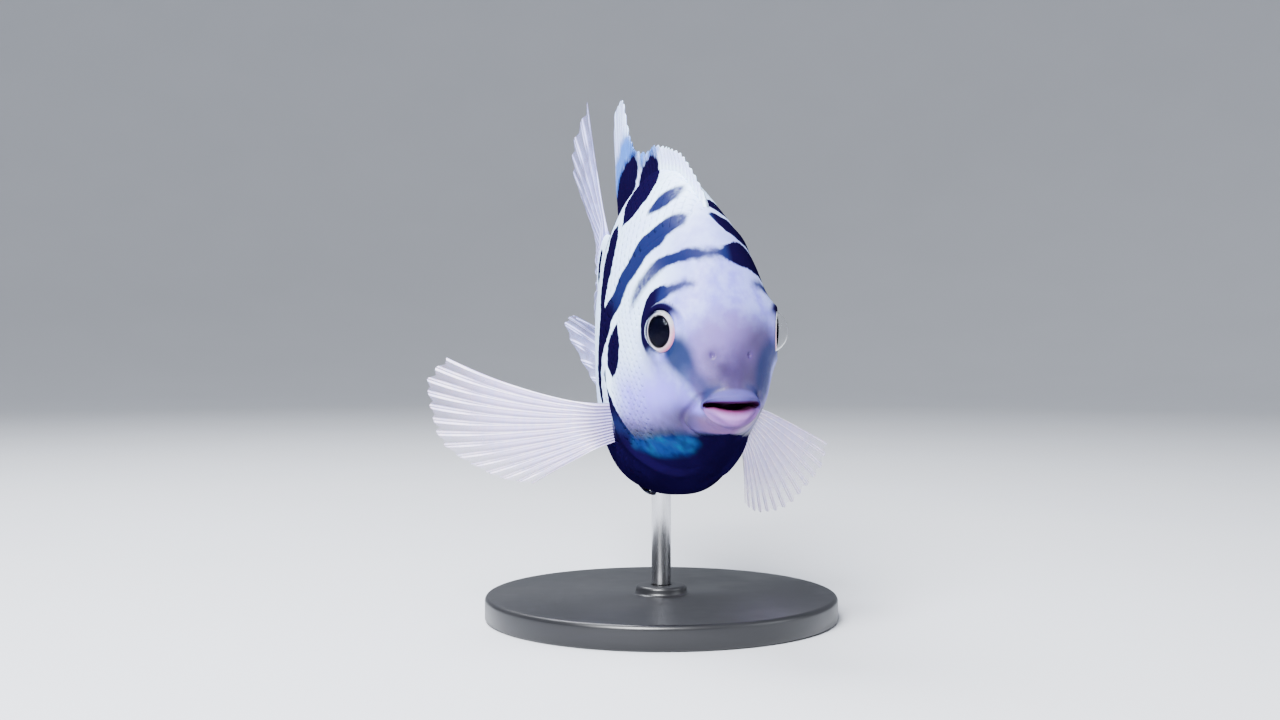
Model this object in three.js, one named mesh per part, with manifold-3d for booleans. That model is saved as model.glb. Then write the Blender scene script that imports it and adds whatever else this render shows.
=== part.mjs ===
// A polar blue parrot cichlid, a short-bodied striped aquarium fish, as a life-size still model on a
// display stand. Units are millimetres. The fish faces -Y, its left side is +X and +Z is up.
// The origin is the middle of the underside of the stand's base.
import * as THREE from "three";
import { mergeVertices } from "three/addons/utils/BufferGeometryUtils.js";
import Module from "manifold-3d";

const wasm = await Module();
wasm.setup();

// Driving dimensions
const STANDARD_LENGTH = 72; // snout to the end of the tail stem
const HEAD_DOWN_PITCH = THREE.MathUtils.degToRad(12);
const GAP = 0.3; // clearance between touching pieces
const AROUND = 60; // facets round the body

// Stand
const BASE = { radius: 29, thickness: 4, bevel: 0.8, facets: 48 };
const BOSS = { radius: 4.2, height: 1.4 }; // the raised middle of the base, under the rod
const ROD = { radius: 1.6, facets: 16, share: 0.44 }; // share is its place along the belly
const BELLY_CLEARANCE = 18; // height of the belly above the base

// Body stations, as shares of the standard length. u runs from inside the mouth, over the lips and
// along the body. s is the distance behind the snout, and corner is how much further back the sides are.
// top and bottom are heights above the mouth line, half is the half width and widest is the height at
// which it is reached. back and belly shape the section: 1 is an oval, more narrows it, less fills it.
const STATION_KEYS = ["u", "s", "corner", "top", "bottom", "half", "widest", "back", "belly"];
const STATIONS = [
  [-0.1, 0.05, 0.02, 0.0, -0.008, 0.011, -0.004, 1, 1],
  [-0.075, 0.022, 0.03, 0.004, -0.014, 0.039, -0.003, 1, 1],
  [-0.05, 0.0, 0.034, 0.008, -0.013, 0.053, -0.001, 1, 1],
  [-0.03, -0.013, 0.037, 0.015, -0.024, 0.059, 0.0, 1, 1],
  [-0.012, -0.01, 0.03, 0.026, -0.038, 0.062, 0.0, 1, 1],
  [0.003, 0.003, 0.022, 0.033, -0.048, 0.064, 0.0, 1, 1],
  [0.02, 0.014, 0.018, 0.047, -0.056, 0.067, 0.002, 1, 1.1],
  [0.045, 0.036, 0.01, 0.098, -0.075, 0.079, 0.01, 1, 1.3],
  [0.08, 0.08, 0, 0.192, -0.118, 0.103, 0.032, 1, 1.45],
  [0.14, 0.14, 0, 0.287, -0.183, 0.129, 0.05, 1.02, 1.45],
  [0.22, 0.22, 0, 0.347, -0.243, 0.152, 0.045, 1.2, 1.15],
  [0.32, 0.32, 0, 0.388, -0.283, 0.166, 0.035, 1.38, 0.7],
  [0.45, 0.45, 0, 0.418, -0.297, 0.163, 0.04, 1.45, 0.6],
  [0.58, 0.58, 0, 0.408, -0.265, 0.138, 0.06, 1.4, 0.72],
  [0.7, 0.7, 0, 0.356, -0.193, 0.102, 0.08, 1.25, 0.88],
  [0.82, 0.82, 0, 0.275, -0.1, 0.064, 0.09, 1.1, 1],
  [0.92, 0.92, 0, 0.21, -0.018, 0.038, 0.098, 1, 1],
  [1.0, 1.0, 0, 0.19, 0.01, 0.025, 0.1, 1, 1],
];
const MOUTH_RINGS = [
  -0.09, -0.07, -0.05, -0.04, -0.03, -0.02, -0.011, -0.003, 0.004, 0.012, 0.022, 0.034, 0.048, 0.064,
];
const THROAT = -0.1; // the innermost u of the mouth's hollow
const FACE_RINGS = 14;
const TORSO_RINGS = 15;
const TAIL_STEM_RINGS = 3;
const TAIL_CUT = 0.88; // where the torso ends and the tail stem starts

// Gill covers. Their rear edge is a share of the length against the angle from the back, in radians.
const GILL_EDGE = {
  angle: [0, 0.5, 1.1, 1.6, 2.1, 2.6, 2.95, Math.PI],
  share: [0.225, 0.252, 0.335, 0.36, 0.31, 0.21, 0.142, 0.12],
};
const GILL_LIFT = 0.55; // how far the free edge stands off the shoulder
const GILL_LIFT_REACH = 0.035; // share of the length over which it rises
const GILL_FLANK = { top: 0.35, topFade: 0.6, bottom: 3, bottomFade: 0.35 }; // where the edge is free
const NAPE_CUT = 0.27; // middle of the joint between head and torso

// Eyes. Height and apex are shares of the length, forward and upward turn the eye in degrees.
const EYE = { share: 0.118, height: 0.13, apex: 0.15, radius: 3.4, forward: 24, upward: 4 };
const ORBIT = { height: 0.95, flat: 3.1, reach: 2.3 }; // the mound of flesh round each eye
const ORBIT_START = { u: 0.02, fade: 0.03 }; // the mound stops short of the lips
const NOSTRIL = { u: 0.05, across: 2.9, radius: 0.45 };

// Fins. Lengths are shares of the standard length and leans are degrees from straight back.
const WEB = 0.25; // half thickness of the web between the rays
const RAY_RIDGE = 0.2; // how far a ray stands off the web on each face, at its root
const RAY_TAPER = 0.55; // how much of the ridge is lost at the tip
const RIM = 0.75; // thickness of the outer edge against the web
const SWAY_POWER = 1.7; // how late along a ray its sideways bend comes
const DORSAL = {
  from: 0.268,
  to: 0.9,
  rays: 26,
  spines: 0.7, // share of the fin whose rays are spines
  length: {
    at: [0, 0.12, 0.4, 0.62, 0.76, 0.85, 0.92, 0.96, 1],
    is: [28, 45, 56, 72, 115, 190, 315, 325, 200],
  },
  lean: { at: [0, 0.4, 0.7, 0.9, 1], is: [48, 50, 58, 66, 46] },
  tilt: 1.5, // the tall rear rays lean to the fish's left
  ripple: 0.35,
};
const ANAL = {
  from: 0.625,
  to: 0.868,
  rays: 15,
  spines: 0.5,
  length: { at: [0, 0.3, 0.5, 0.64, 0.78, 0.9, 1], is: [40, 65, 100, 180, 262, 200, 110] },
  lean: { at: [0, 0.5, 0.75, 1], is: [40, 14, -6, -18] },
  curl: -5.8, // the tips trail to the fish's right
  ripple: 0.25,
};
const CAUDAL = {
  rays: 16,
  degrees: [-34, 50],
  root: [0.07, 0.93], // the stretch of the tail stem's height that carries rays
  length: { at: [0, 0.25, 0.5, 0.75, 1], is: [380, 364, 360, 375, 430] },
  swing: { at: [0, 0.4, 0.57, 0.74, 0.88, 1], is: [5.2, 5.4, 3.6, -1.6, -1.8, -0.4] },
  bow: 0.1,
  ripple: 0.3,
  fleshy: 0.28, // share of the rays that the tail stem's flesh covers
};
const PECTORAL = {
  rays: 14,
  root: [
    { u: 0.355, height: -0.085 },
    { u: 0.362, height: -0.168 },
  ],
  length: { at: [0, 0.2, 0.45, 0.75, 1], is: [345, 395, 390, 300, 195] },
  standoff: 0.75, // room for the thickness of the fin's root
  flesh: 0.45, // extra half thickness at the root
};
const PECTORAL_RIGHT = { ...PECTORAL, rise: [2, -34], sweep: [22, 34], trail: 0.1, droop: [0.18, -0.08] };
const PECTORAL_LEFT = { ...PECTORAL, rise: [-24, -58], sweep: [30, 56], trail: 0.08, droop: [-0.03, -0.1] };
const PELVIC = {
  rays: 6,
  root: [
    { u: 0.335, across: 3.7 },
    { u: 0.36, across: 2.7 },
  ],
  length: { at: [0, 0.3, 1], is: [235, 225, 130] },
  standoff: 0.65,
  flesh: 0.1,
  rise: [-3, -9],
  sweep: [86, 89],
  trail: 0.02,
  droop: [0.08, 0.08],
};
const PAIRED_BULGE = 0.5; // how far a paired fin's web bows away from the body near its root
const PAIRED_FLESH_REACH = 0.22; // share of its length over which the root's flesh thins out

const FISH_SKIN = { color: 0xd9dcf0, roughness: 0.35, metalness: 0 };
const FIN_SKIN = { color: 0xd7d9ea, roughness: 0.4, metalness: 0 };
const EYE_GLOSS = { color: 0x16161e, roughness: 0.15, metalness: 0 };
const BASE_BLACK = { color: 0x1c1c20, roughness: 0.4, metalness: 0 };
const ROD_STEEL = { color: 0xc8c8cc, roughness: 0.25, metalness: 1 };

const { lerp, clamp, degToRad } = THREE.MathUtils;

// An S-shaped step that is 0 up to the start and 1 after the given width.
function step(x, start, width) {
  const t = clamp((x - start) / width, 0, 1);
  return t * t * (3 - 2 * t);
}

// A monotone cubic curve through a few points.
function curve(xs, ys) {
  const last = xs.length - 1;
  const slopes = xs.slice(1).map((x, i) => (ys[i + 1] - ys[i]) / (x - xs[i]));
  const tangents = ys.map((_, i) => {
    const before = slopes[Math.max(i - 1, 0)];
    const after = slopes[Math.min(i, last - 1)];
    if (i === 0 || i === last) return i === 0 ? after : before;
    if (before * after <= 0) return 0;
    const left = xs[i] - xs[i - 1];
    const right = xs[i + 1] - xs[i];
    return (3 * (left + right)) / ((2 * right + left) / before + (right + 2 * left) / after);
  });
  return (x) => {
    let i = 0;
    while (i < last - 1 && x > xs[i + 1]) i += 1;
    const width = xs[i + 1] - xs[i];
    const t = clamp((x - xs[i]) / width, 0, 1);
    const blend = t * t * (3 - 2 * t);
    const bend = width * t * (1 - t) * (tangents[i] * (1 - t) - tangents[i + 1] * t);
    return lerp(ys[i], ys[i + 1], blend) + bend;
  };
}

// A fin's lengths are written in thousandths of the standard length.
function lengthOf(fin) {
  const thousandths = curve(fin.length.at, fin.length.is);
  return (f) => (thousandths(f) * STANDARD_LENGTH) / 1000;
}

const along = {};
STATION_KEYS.forEach((key, column) => {
  const scale = key === "back" || key === "belly" ? 1 : STANDARD_LENGTH;
  const values = STATIONS.map((row) => row[column] * scale);
  along[key] = curve(
    STATIONS.map((row) => row[0]),
    values,
  );
});
const gillEdge = curve(GILL_EDGE.angle, GILL_EDGE.share);

// A point of the plain body form. angle is 0 at the back and grows towards the left side.
function form(u, angle) {
  const side = Math.sin(angle);
  const up = Math.cos(angle);
  const power = up < 0 ? along.belly(u) : along.back(u);
  const x = along.half(u) * Math.sign(side) * Math.abs(side) ** power;
  const middle = along.widest(u);
  const reach = up < 0 ? middle - along.bottom(u) : along.top(u) - middle;
  return new THREE.Vector3(x, along.s(u) + along.corner(u) * side * side, middle + reach * up);
}

// The outward normal of the plain body form.
function outward(u, angle) {
  const small = 1e-3;
  const lengthwise = form(u + small, angle).sub(form(u - small, angle));
  const around = form(u, angle + small).sub(form(u, angle - small));
  return around.cross(lengthwise).normalize();
}

// The angle at which the body form passes a height, on the side given by +1 (left) or -1 (right).
function angleAtHeight(u, height, side) {
  const middle = along.widest(u);
  const reach = height > middle ? along.top(u) - middle : middle - along.bottom(u);
  return side * Math.acos(clamp((height - middle) / reach, -1, 1));
}

// The angle at which the body form is this far from the middle plane, on the back or the belly.
function angleAcross(u, x, onBelly) {
  const power = onBelly ? along.belly(u) : along.back(u);
  const angle = Math.sign(x) * Math.asin((Math.abs(x) / along.half(u)) ** (1 / power));
  return onBelly ? Math.PI - angle : angle;
}

function eyeAxis(side) {
  const forward = degToRad(EYE.forward);
  const upward = degToRad(EYE.upward);
  return new THREE.Vector3(
    side * Math.cos(forward) * Math.cos(upward),
    -Math.sin(forward) * Math.cos(upward),
    Math.sin(upward),
  );
}

function eyeCentre(side) {
  const apex = new THREE.Vector3(side * EYE.apex, EYE.share, EYE.height);
  return apex.multiplyScalar(STANDARD_LENGTH).addScaledVector(eyeAxis(side), -EYE.radius);
}

// The head's surface: the body form with the mounds round the eyes and the lifted gill covers.
function headSkin(u, angle) {
  const point = form(u, angle);
  const normal = outward(u, angle);
  const side = Math.sin(angle) < 0 ? -1 : 1;
  const toEye = point.clone().sub(eyeCentre(side));
  const offAxis = toEye.addScaledVector(eyeAxis(side), -toEye.dot(eyeAxis(side))).length();
  const mound = Math.exp(-((Math.max(0, offAxis - ORBIT.flat) / ORBIT.reach) ** 2));
  const offLips = clamp((u - ORBIT_START.u) / ORBIT_START.fade, 0, 1);
  const turn = angle > Math.PI ? 2 * Math.PI - angle : Math.abs(angle);
  const nearEdge = 1 - step(gillEdge(turn) - u, 0, GILL_LIFT_REACH);
  const free = step(turn, GILL_FLANK.top, GILL_FLANK.topFade);
  const freeBelow = step(GILL_FLANK.bottom - turn, 0, GILL_FLANK.bottomFade);
  const lift = ORBIT.height * mound * offLips + GILL_LIFT * nearEdge * free * freeBelow;
  return point.addScaledVector(normal, lift);
}

function geometryOf(points, faces) {
  const geometry = new THREE.BufferGeometry();
  const numbers = points.flatMap((point) => point.toArray());
  geometry.setAttribute("position", new THREE.Float32BufferAttribute(numbers, 3));
  geometry.setIndex(faces.flat());
  return geometry;
}

function solidOf(geometry) {
  const bare = geometry.clone();
  bare.deleteAttribute("normal");
  bare.deleteAttribute("uv");
  const merged = mergeVertices(bare, 1e-4);
  return new wasm.Manifold(
    new wasm.Mesh({
      numProp: 3,
      vertProperties: merged.attributes.position.array,
      triVerts: new Uint32Array(merged.index.array),
    }),
  );
}

// The largest closed body of a solid, as a geometry.
function geometryFrom(solid) {
  const largest = solid.decompose().reduce((a, b) => (b.volume() > a.volume() ? b : a));
  const mesh = largest.getMesh();
  const geometry = new THREE.BufferGeometry();
  geometry.setAttribute("position", new THREE.BufferAttribute(mesh.vertProperties, 3));
  geometry.setIndex(new THREE.BufferAttribute(mesh.triVerts, 1));
  return geometry;
}

// A closed geometry from rings of points, with one end point before and one after them.
function loft(rings, first, last) {
  const n = rings[0].length;
  const faces = [];
  for (let r = 0; r < rings.length - 1; r += 1) {
    for (let i = 0; i < n; i += 1) {
      const a = r * n + i;
      const b = r * n + ((i + 1) % n);
      faces.push([a, b, a + n], [b, b + n, a + n]);
    }
  }
  const end = rings.length * n;
  for (let i = 0; i < n; i += 1) {
    const j = (i + 1) % n;
    faces.push([end, j, i], [end + 1, end - n + i, end - n + j]);
  }
  return geometryOf([...rings.flat(), first, last], faces);
}

// A ring round the body. uOf gives each facet's place along it, from the angle folded to 0 to 180 degrees.
function ring(surface, uOf) {
  return Array.from({ length: AROUND }, (_, i) => {
    const angle = (2 * Math.PI * i) / AROUND;
    return surface(uOf(Math.min(angle, 2 * Math.PI - angle)), angle);
  });
}

function napeMiddle(offset) {
  return new THREE.Vector3(0, NAPE_CUT * STANDARD_LENGTH + offset, along.widest(NAPE_CUT));
}

// Head: from inside the mouth, over the lips and the face, to the rear edge of the gill covers
function headForm() {
  const edge = (turn) => gillEdge(turn) - GAP / STANDARD_LENGTH;
  const face = MOUTH_RINGS.at(-1);
  const rings = MOUTH_RINGS.map((u) => ring(headSkin, () => u));
  for (let k = 1; k <= FACE_RINGS; k += 1) {
    rings.push(ring(headSkin, (turn) => lerp(face, edge(turn), k / FACE_RINGS)));
  }
  rings.push(ring(form, edge)); // the thickness of the gill cover's free edge
  return loft(rings, new THREE.Vector3(0, along.s(THROAT), along.widest(THROAT)), napeMiddle(-GAP));
}

// The head with its eye sockets and nostrils cut in.
function headGeometry() {
  let solid = solidOf(headForm());
  for (const side of [1, -1]) {
    const socket = new THREE.SphereGeometry(EYE.radius + GAP, 24, 16);
    socket.translate(...eyeCentre(side).toArray());
    const pit = new THREE.SphereGeometry(NOSTRIL.radius, 10, 8);
    pit.translate(...headSkin(NOSTRIL.u, angleAcross(NOSTRIL.u, side * NOSTRIL.across, false)).toArray());
    solid = solid.subtract(solidOf(socket)).subtract(solidOf(pit));
  }
  return geometryFrom(solid);
}

function torsoGeometry() {
  const from = (turn) => gillEdge(turn) + GAP / STANDARD_LENGTH;
  const to = TAIL_CUT - GAP / 2 / STANDARD_LENGTH;
  const rings = [];
  for (let k = 0; k <= TORSO_RINGS; k += 1) {
    rings.push(ring(form, (turn) => lerp(from(turn), to, k / TORSO_RINGS)));
  }
  return loft(rings, napeMiddle(GAP), new THREE.Vector3(0, along.s(to), along.widest(to)));
}

function tailStemGeometry() {
  const from = TAIL_CUT + GAP / 2 / STANDARD_LENGTH;
  const rings = [];
  for (let k = 0; k <= TAIL_STEM_RINGS; k += 1) {
    rings.push(ring(form, () => lerp(from, 1, k / TAIL_STEM_RINGS)));
  }
  const start = new THREE.Vector3(0, along.s(from), along.widest(from));
  return loft(rings, start, new THREE.Vector3(0, along.s(1), along.widest(1)));
}

// A fin is a thin sheet with a ridge along each ray. A ray is a function that gives the point at a share
// of its length. notch is how much shorter the web is than the rays, and flesh is extra half thickness
// at a share of the length and a share of the way across. Both faces have the same triangles.
function finGeometry(rays, { rows, notch, flesh }) {
  const columns = [];
  rays.forEach((ray, i) => {
    columns.push({ at: ray, ridge: RAY_RIDGE, reach: 1 });
    if (i === rays.length - 1) return;
    const reach = 1 - notch(i / (rays.length - 1));
    columns.push({ at: (v) => ray(v).lerp(rays[i + 1](v), 0.5), ridge: 0, reach });
  });
  const grid = columns.map(({ at, reach }) => {
    return Array.from({ length: rows + 1 }, (_, k) => at((reach * k) / rows));
  });
  const lastColumn = grid.length - 1;
  const points = [];
  grid.forEach((line, c) => {
    line.forEach((point, k) => {
      const across = grid[Math.min(c + 1, lastColumn)][k].clone().sub(grid[Math.max(c - 1, 0)][k]);
      const outwards = line[Math.min(k + 1, rows)].clone().sub(line[Math.max(k - 1, 0)]);
      const normal = across.cross(outwards).normalize();
      const ridge = columns[c].ridge * (1 - (RAY_TAPER * k) / rows);
      const half = (WEB + ridge + flesh(k / rows, c / lastColumn)) * (k === rows ? RIM : 1);
      points.push(point.clone().addScaledVector(normal, half));
      points.push(point.clone().addScaledVector(normal, -half));
    });
  });
  const at = (c, k, face) => 2 * (c * (rows + 1) + k) + face;
  const faces = [];
  const quad = (a, b, c, d) => faces.push([a, b, c], [a, c, d]);
  const mirroredQuad = (a, b, c, d) => faces.push([a, c, b], [a, d, c]);
  for (let c = 0; c < lastColumn; c += 1) {
    for (let k = 0; k < rows; k += 1) {
      quad(at(c, k, 0), at(c + 1, k, 0), at(c + 1, k + 1, 0), at(c, k + 1, 0));
      mirroredQuad(at(c, k, 1), at(c + 1, k, 1), at(c + 1, k + 1, 1), at(c, k + 1, 1));
    }
    quad(at(c, 0, 1), at(c + 1, 0, 1), at(c + 1, 0, 0), at(c, 0, 0));
    quad(at(c, rows, 0), at(c + 1, rows, 0), at(c + 1, rows, 1), at(c, rows, 1));
  }
  for (let k = 0; k < rows; k += 1) {
    const z = lastColumn;
    quad(at(0, k, 0), at(0, k + 1, 0), at(0, k + 1, 1), at(0, k, 1));
    mirroredQuad(at(z, k, 0), at(z, k + 1, 0), at(z, k + 1, 1), at(z, k, 1));
  }
  if (solidOf(geometryOf(points, faces)).volume() < 0) faces.forEach((face) => face.reverse());
  return geometryOf(points, faces);
}

// A ray from its root. reach is its straight part, sag bows it and sway bends it sideways near the tip.
function rayCurve(root, reach, sag, sway) {
  return (v) => {
    const point = root.clone().addScaledVector(reach, v).addScaledVector(sag, v * v);
    point.x += sway * v ** SWAY_POWER;
    return point;
  };
}

function dorsalRays() {
  const length = lengthOf(DORSAL);
  const lean = curve(DORSAL.lean.at, DORSAL.lean.is);
  return Array.from({ length: DORSAL.rays }, (_, i) => {
    const f = i / (DORSAL.rays - 1);
    const u = lerp(DORSAL.from, DORSAL.to, f);
    const root = new THREE.Vector3(0, along.s(u), along.top(u) + GAP);
    const angle = degToRad(lean(f));
    const reach = new THREE.Vector3(0, Math.cos(angle), Math.sin(angle)).multiplyScalar(length(f));
    const sag = new THREE.Vector3(0, 0.06, -0.03).multiplyScalar(length(f));
    const sway = DORSAL.ripple * Math.sin(1.3 * i) * step(f, 0.1, 0.6) + DORSAL.tilt * step(f, 0.8, 0.15);
    return rayCurve(root, reach, sag, sway);
  });
}

function analRays() {
  const length = lengthOf(ANAL);
  const lean = curve(ANAL.lean.at, ANAL.lean.is);
  return Array.from({ length: ANAL.rays }, (_, i) => {
    const f = i / (ANAL.rays - 1);
    const u = lerp(ANAL.from, ANAL.to, f);
    const root = new THREE.Vector3(0, along.s(u), along.bottom(u) - GAP);
    const angle = degToRad(lean(f));
    const reach = new THREE.Vector3(0, Math.cos(angle), -Math.sin(angle)).multiplyScalar(length(f));
    const sag = new THREE.Vector3(0, 0.02, 0.05).multiplyScalar(length(f));
    return rayCurve(root, reach, sag, ANAL.curl * step(f, 0.2, 0.6) + ANAL.ripple * Math.sin(1.6 * i));
  });
}

// Tail fin: its upper lobe leans to the fish's right, and the rest swings to its left.
function caudalRays() {
  const length = lengthOf(CAUDAL);
  const swing = curve(CAUDAL.swing.at, CAUDAL.swing.is);
  return Array.from({ length: CAUDAL.rays }, (_, i) => {
    const f = i / (CAUDAL.rays - 1);
    const height = lerp(along.bottom(1), along.top(1), lerp(...CAUDAL.root, f));
    const root = new THREE.Vector3(0, STANDARD_LENGTH + GAP, height);
    const angle = degToRad(lerp(...CAUDAL.degrees, f));
    const bow = CAUDAL.bow * length(f) * (2 * f - 1);
    const reach = new THREE.Vector3(0, Math.cos(angle) * length(f), Math.sin(angle) * length(f) - bow);
    const sag = new THREE.Vector3(0, -Math.abs(bow) / 2, bow);
    return rayCurve(root, reach, sag, swing(f) + CAUDAL.ripple * Math.sin(1.9 * i));
  });
}

// A paired fin grows from a short line on the body, given by its two ends. rise is degrees above the
// level and sweep is degrees back from straight out. Each pair is for the first and the last ray. trail
// and droop bow the rays backwards and upwards, as shares of their length.
function pairedRays(fin, side) {
  const length = lengthOf(fin);
  const angles = fin.root.map(({ u, height, across }) => {
    if (across) return angleAcross(u, side * across, true);
    return angleAtHeight(u, height * STANDARD_LENGTH, side);
  });
  return Array.from({ length: fin.rays }, (_, i) => {
    const f = i / (fin.rays - 1);
    const u = lerp(fin.root[0].u, fin.root[1].u, f);
    const angle = lerp(...angles, f);
    const normal = outward(u, angle);
    const root = form(u, angle).addScaledVector(normal, fin.standoff);
    const rise = degToRad(lerp(...fin.rise, f));
    const sweep = degToRad(lerp(...fin.sweep, f));
    const level = Math.cos(rise) * length(f);
    const reach = new THREE.Vector3(
      side * level * Math.cos(sweep),
      level * Math.sin(sweep),
      Math.sin(rise) * length(f),
    );
    const sag = new THREE.Vector3(0, fin.trail, lerp(...fin.droop, f)).multiplyScalar(length(f));
    const ray = rayCurve(root, reach, sag, 0);
    return (v) => ray(v).addScaledVector(normal, PAIRED_BULGE * step(v, 0, 0.25));
  });
}

function medianFin(fin, rays) {
  const notch = (f) => (f < fin.spines ? 0.2 : 0.03);
  return finGeometry(rays, { rows: 5, notch, flesh: () => 0 });
}

function caudalFin() {
  const flesh = (v, across) => {
    const swell = Math.sqrt(Math.max(0, 1 - (2 * across - 1) ** 2));
    return Math.max(0, along.half(1) * swell - WEB) * (1 - step(v, 0, CAUDAL.fleshy));
  };
  return finGeometry(caudalRays(), { rows: 8, notch: () => 0.025, flesh });
}

function pairedFin(fin, side) {
  const flesh = (v) => fin.flesh * (1 - step(v, 0, PAIRED_FLESH_REACH));
  return finGeometry(pairedRays(fin, side), { rows: 7, notch: () => 0.03, flesh });
}

function baseGeometry() {
  const profile = [
    [0, 0],
    [BASE.radius, 0],
    [BASE.radius, BASE.thickness - BASE.bevel],
    [BASE.radius - BASE.bevel, BASE.thickness],
    [BOSS.radius, BASE.thickness],
    [BOSS.radius - BASE.bevel, BASE.thickness + BOSS.height],
    [0, BASE.thickness + BOSS.height],
  ];
  const base = new THREE.LatheGeometry(
    profile.map((pair) => new THREE.Vector2(...pair)),
    BASE.facets,
  );
  return base.rotateX(Math.PI / 2);
}

// The rod runs from the boss up to the belly, whose shape its top follows.
function rodGeometry(bellyInPlace) {
  const foot = BASE.thickness + BOSS.height + GAP;
  const height = BASE.thickness + BELLY_CLEARANCE + ROD.radius - foot;
  const rod = new THREE.CylinderGeometry(ROD.radius, ROD.radius, height, ROD.facets);
  rod.rotateX(Math.PI / 2).translate(0, 0, foot + height / 2);
  const clearance = bellyInPlace.clone().translate(0, 0, -GAP);
  return geometryFrom(solidOf(rod).subtract(solidOf(clearance)));
}

function piece(name, geometry, finish) {
  const mesh = new THREE.Mesh(geometry, new THREE.MeshStandardMaterial(finish));
  mesh.name = name;
  return mesh;
}

function eyeball(name, side) {
  const mesh = piece(name, new THREE.SphereGeometry(EYE.radius, 20, 14), EYE_GLOSS);
  mesh.position.copy(eyeCentre(side));
  return mesh;
}

// The fish is pitched head down, with its belly over the middle of the base.
const fish = new THREE.Group();
fish.rotation.x = HEAD_DOWN_PITCH;
const belly = form(ROD.share, Math.PI).applyEuler(fish.rotation);
fish.position.set(0, -belly.y, BASE.thickness + BELLY_CLEARANCE - belly.z);
const torso = piece("torso", torsoGeometry(), FISH_SKIN);
fish.add(
  piece("head", headGeometry(), FISH_SKIN),
  torso,
  piece("tail_stem", tailStemGeometry(), FISH_SKIN),
  piece("dorsal_fin", medianFin(DORSAL, dorsalRays()), FIN_SKIN),
  piece("anal_fin", medianFin(ANAL, analRays()), FIN_SKIN),
  piece("caudal_fin", caudalFin(), FIN_SKIN),
  piece("pectoral_fin_right", pairedFin(PECTORAL_RIGHT, -1), FIN_SKIN),
  piece("pectoral_fin_left", pairedFin(PECTORAL_LEFT, 1), FIN_SKIN),
  piece("pelvic_fin_right", pairedFin(PELVIC, -1), FIN_SKIN),
  piece("pelvic_fin_left", pairedFin(PELVIC, 1), FIN_SKIN),
  eyeball("eye_left", 1),
  eyeball("eye_right", -1),
);
fish.updateMatrixWorld(true);

const stand = new THREE.Group();
stand.add(
  piece("stand_base", baseGeometry(), BASE_BLACK),
  piece("stand_rod", rodGeometry(torso.geometry.clone().applyMatrix4(torso.matrixWorld)), ROD_STEEL),
);

const model = new THREE.Group();
model.add(fish, stand);
export default model;
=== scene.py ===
"""The looks of a polar blue parrot cichlid, a life-size still model on a display stand.

Sizes are millimetres, and angles round the body are degrees from the back unless a name says otherwise.
The body form repeats the part's own, so every piece lies where its solid is.
"""

import math
from functools import reduce

import bpy
import numpy as np
from mathutils import Matrix, Vector


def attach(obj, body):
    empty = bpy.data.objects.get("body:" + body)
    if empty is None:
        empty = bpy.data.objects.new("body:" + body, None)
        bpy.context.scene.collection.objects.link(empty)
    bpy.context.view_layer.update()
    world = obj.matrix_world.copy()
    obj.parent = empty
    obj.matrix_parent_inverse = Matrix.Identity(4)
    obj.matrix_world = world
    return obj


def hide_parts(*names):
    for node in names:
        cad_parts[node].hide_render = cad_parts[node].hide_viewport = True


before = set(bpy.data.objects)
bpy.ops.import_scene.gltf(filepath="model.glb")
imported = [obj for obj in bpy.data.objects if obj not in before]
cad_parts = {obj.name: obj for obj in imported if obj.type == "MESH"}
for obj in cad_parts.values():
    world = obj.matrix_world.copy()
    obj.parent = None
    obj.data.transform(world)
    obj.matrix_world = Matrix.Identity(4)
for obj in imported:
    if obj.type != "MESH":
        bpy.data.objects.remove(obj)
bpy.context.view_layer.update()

# Driving dimensions, as in the part's source
MM = 0.001
LENGTH = 72.0  # standard length
PITCH = math.radians(12)
GAP = 0.3
BASE_THICKNESS = 4.0
BELLY_CLEARANCE = 18.0
ROD_SHARE = 0.44
RIGHT, LEFT = -1, 1
SIDES = {"right": RIGHT, "left": LEFT}
SMALL = 1e-3  # the step for slopes taken by differences

# Body stations: u, s, corner, top, bottom, half, widest, back, belly, as in the part's source
STATION_KEYS = ["u", "s", "corner", "top", "bottom", "half", "widest", "back", "belly"]
STATIONS = np.array(
    [
        [-0.1, 0.05, 0.02, 0.0, -0.008, 0.011, -0.004, 1, 1],
        [-0.075, 0.022, 0.03, 0.004, -0.014, 0.039, -0.003, 1, 1],
        [-0.05, 0.0, 0.034, 0.008, -0.013, 0.053, -0.001, 1, 1],
        [-0.03, -0.013, 0.037, 0.015, -0.024, 0.059, 0.0, 1, 1],
        [-0.012, -0.01, 0.03, 0.026, -0.038, 0.062, 0.0, 1, 1],
        [0.003, 0.003, 0.022, 0.033, -0.048, 0.064, 0.0, 1, 1],
        [0.02, 0.014, 0.018, 0.047, -0.056, 0.067, 0.002, 1, 1.1],
        [0.045, 0.036, 0.01, 0.098, -0.075, 0.079, 0.01, 1, 1.3],
        [0.08, 0.08, 0, 0.192, -0.118, 0.103, 0.032, 1, 1.45],
        [0.14, 0.14, 0, 0.287, -0.183, 0.129, 0.05, 1.02, 1.45],
        [0.22, 0.22, 0, 0.347, -0.243, 0.152, 0.045, 1.2, 1.15],
        [0.32, 0.32, 0, 0.388, -0.283, 0.166, 0.035, 1.38, 0.7],
        [0.45, 0.45, 0, 0.418, -0.297, 0.163, 0.04, 1.45, 0.6],
        [0.58, 0.58, 0, 0.408, -0.265, 0.138, 0.06, 1.4, 0.72],
        [0.7, 0.7, 0, 0.356, -0.193, 0.102, 0.08, 1.25, 0.88],
        [0.82, 0.82, 0, 0.275, -0.1, 0.064, 0.09, 1.1, 1],
        [0.92, 0.92, 0, 0.21, -0.018, 0.038, 0.098, 1, 1],
        [1.0, 1.0, 0, 0.19, 0.01, 0.025, 0.1, 1, 1],
    ]
)
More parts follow.
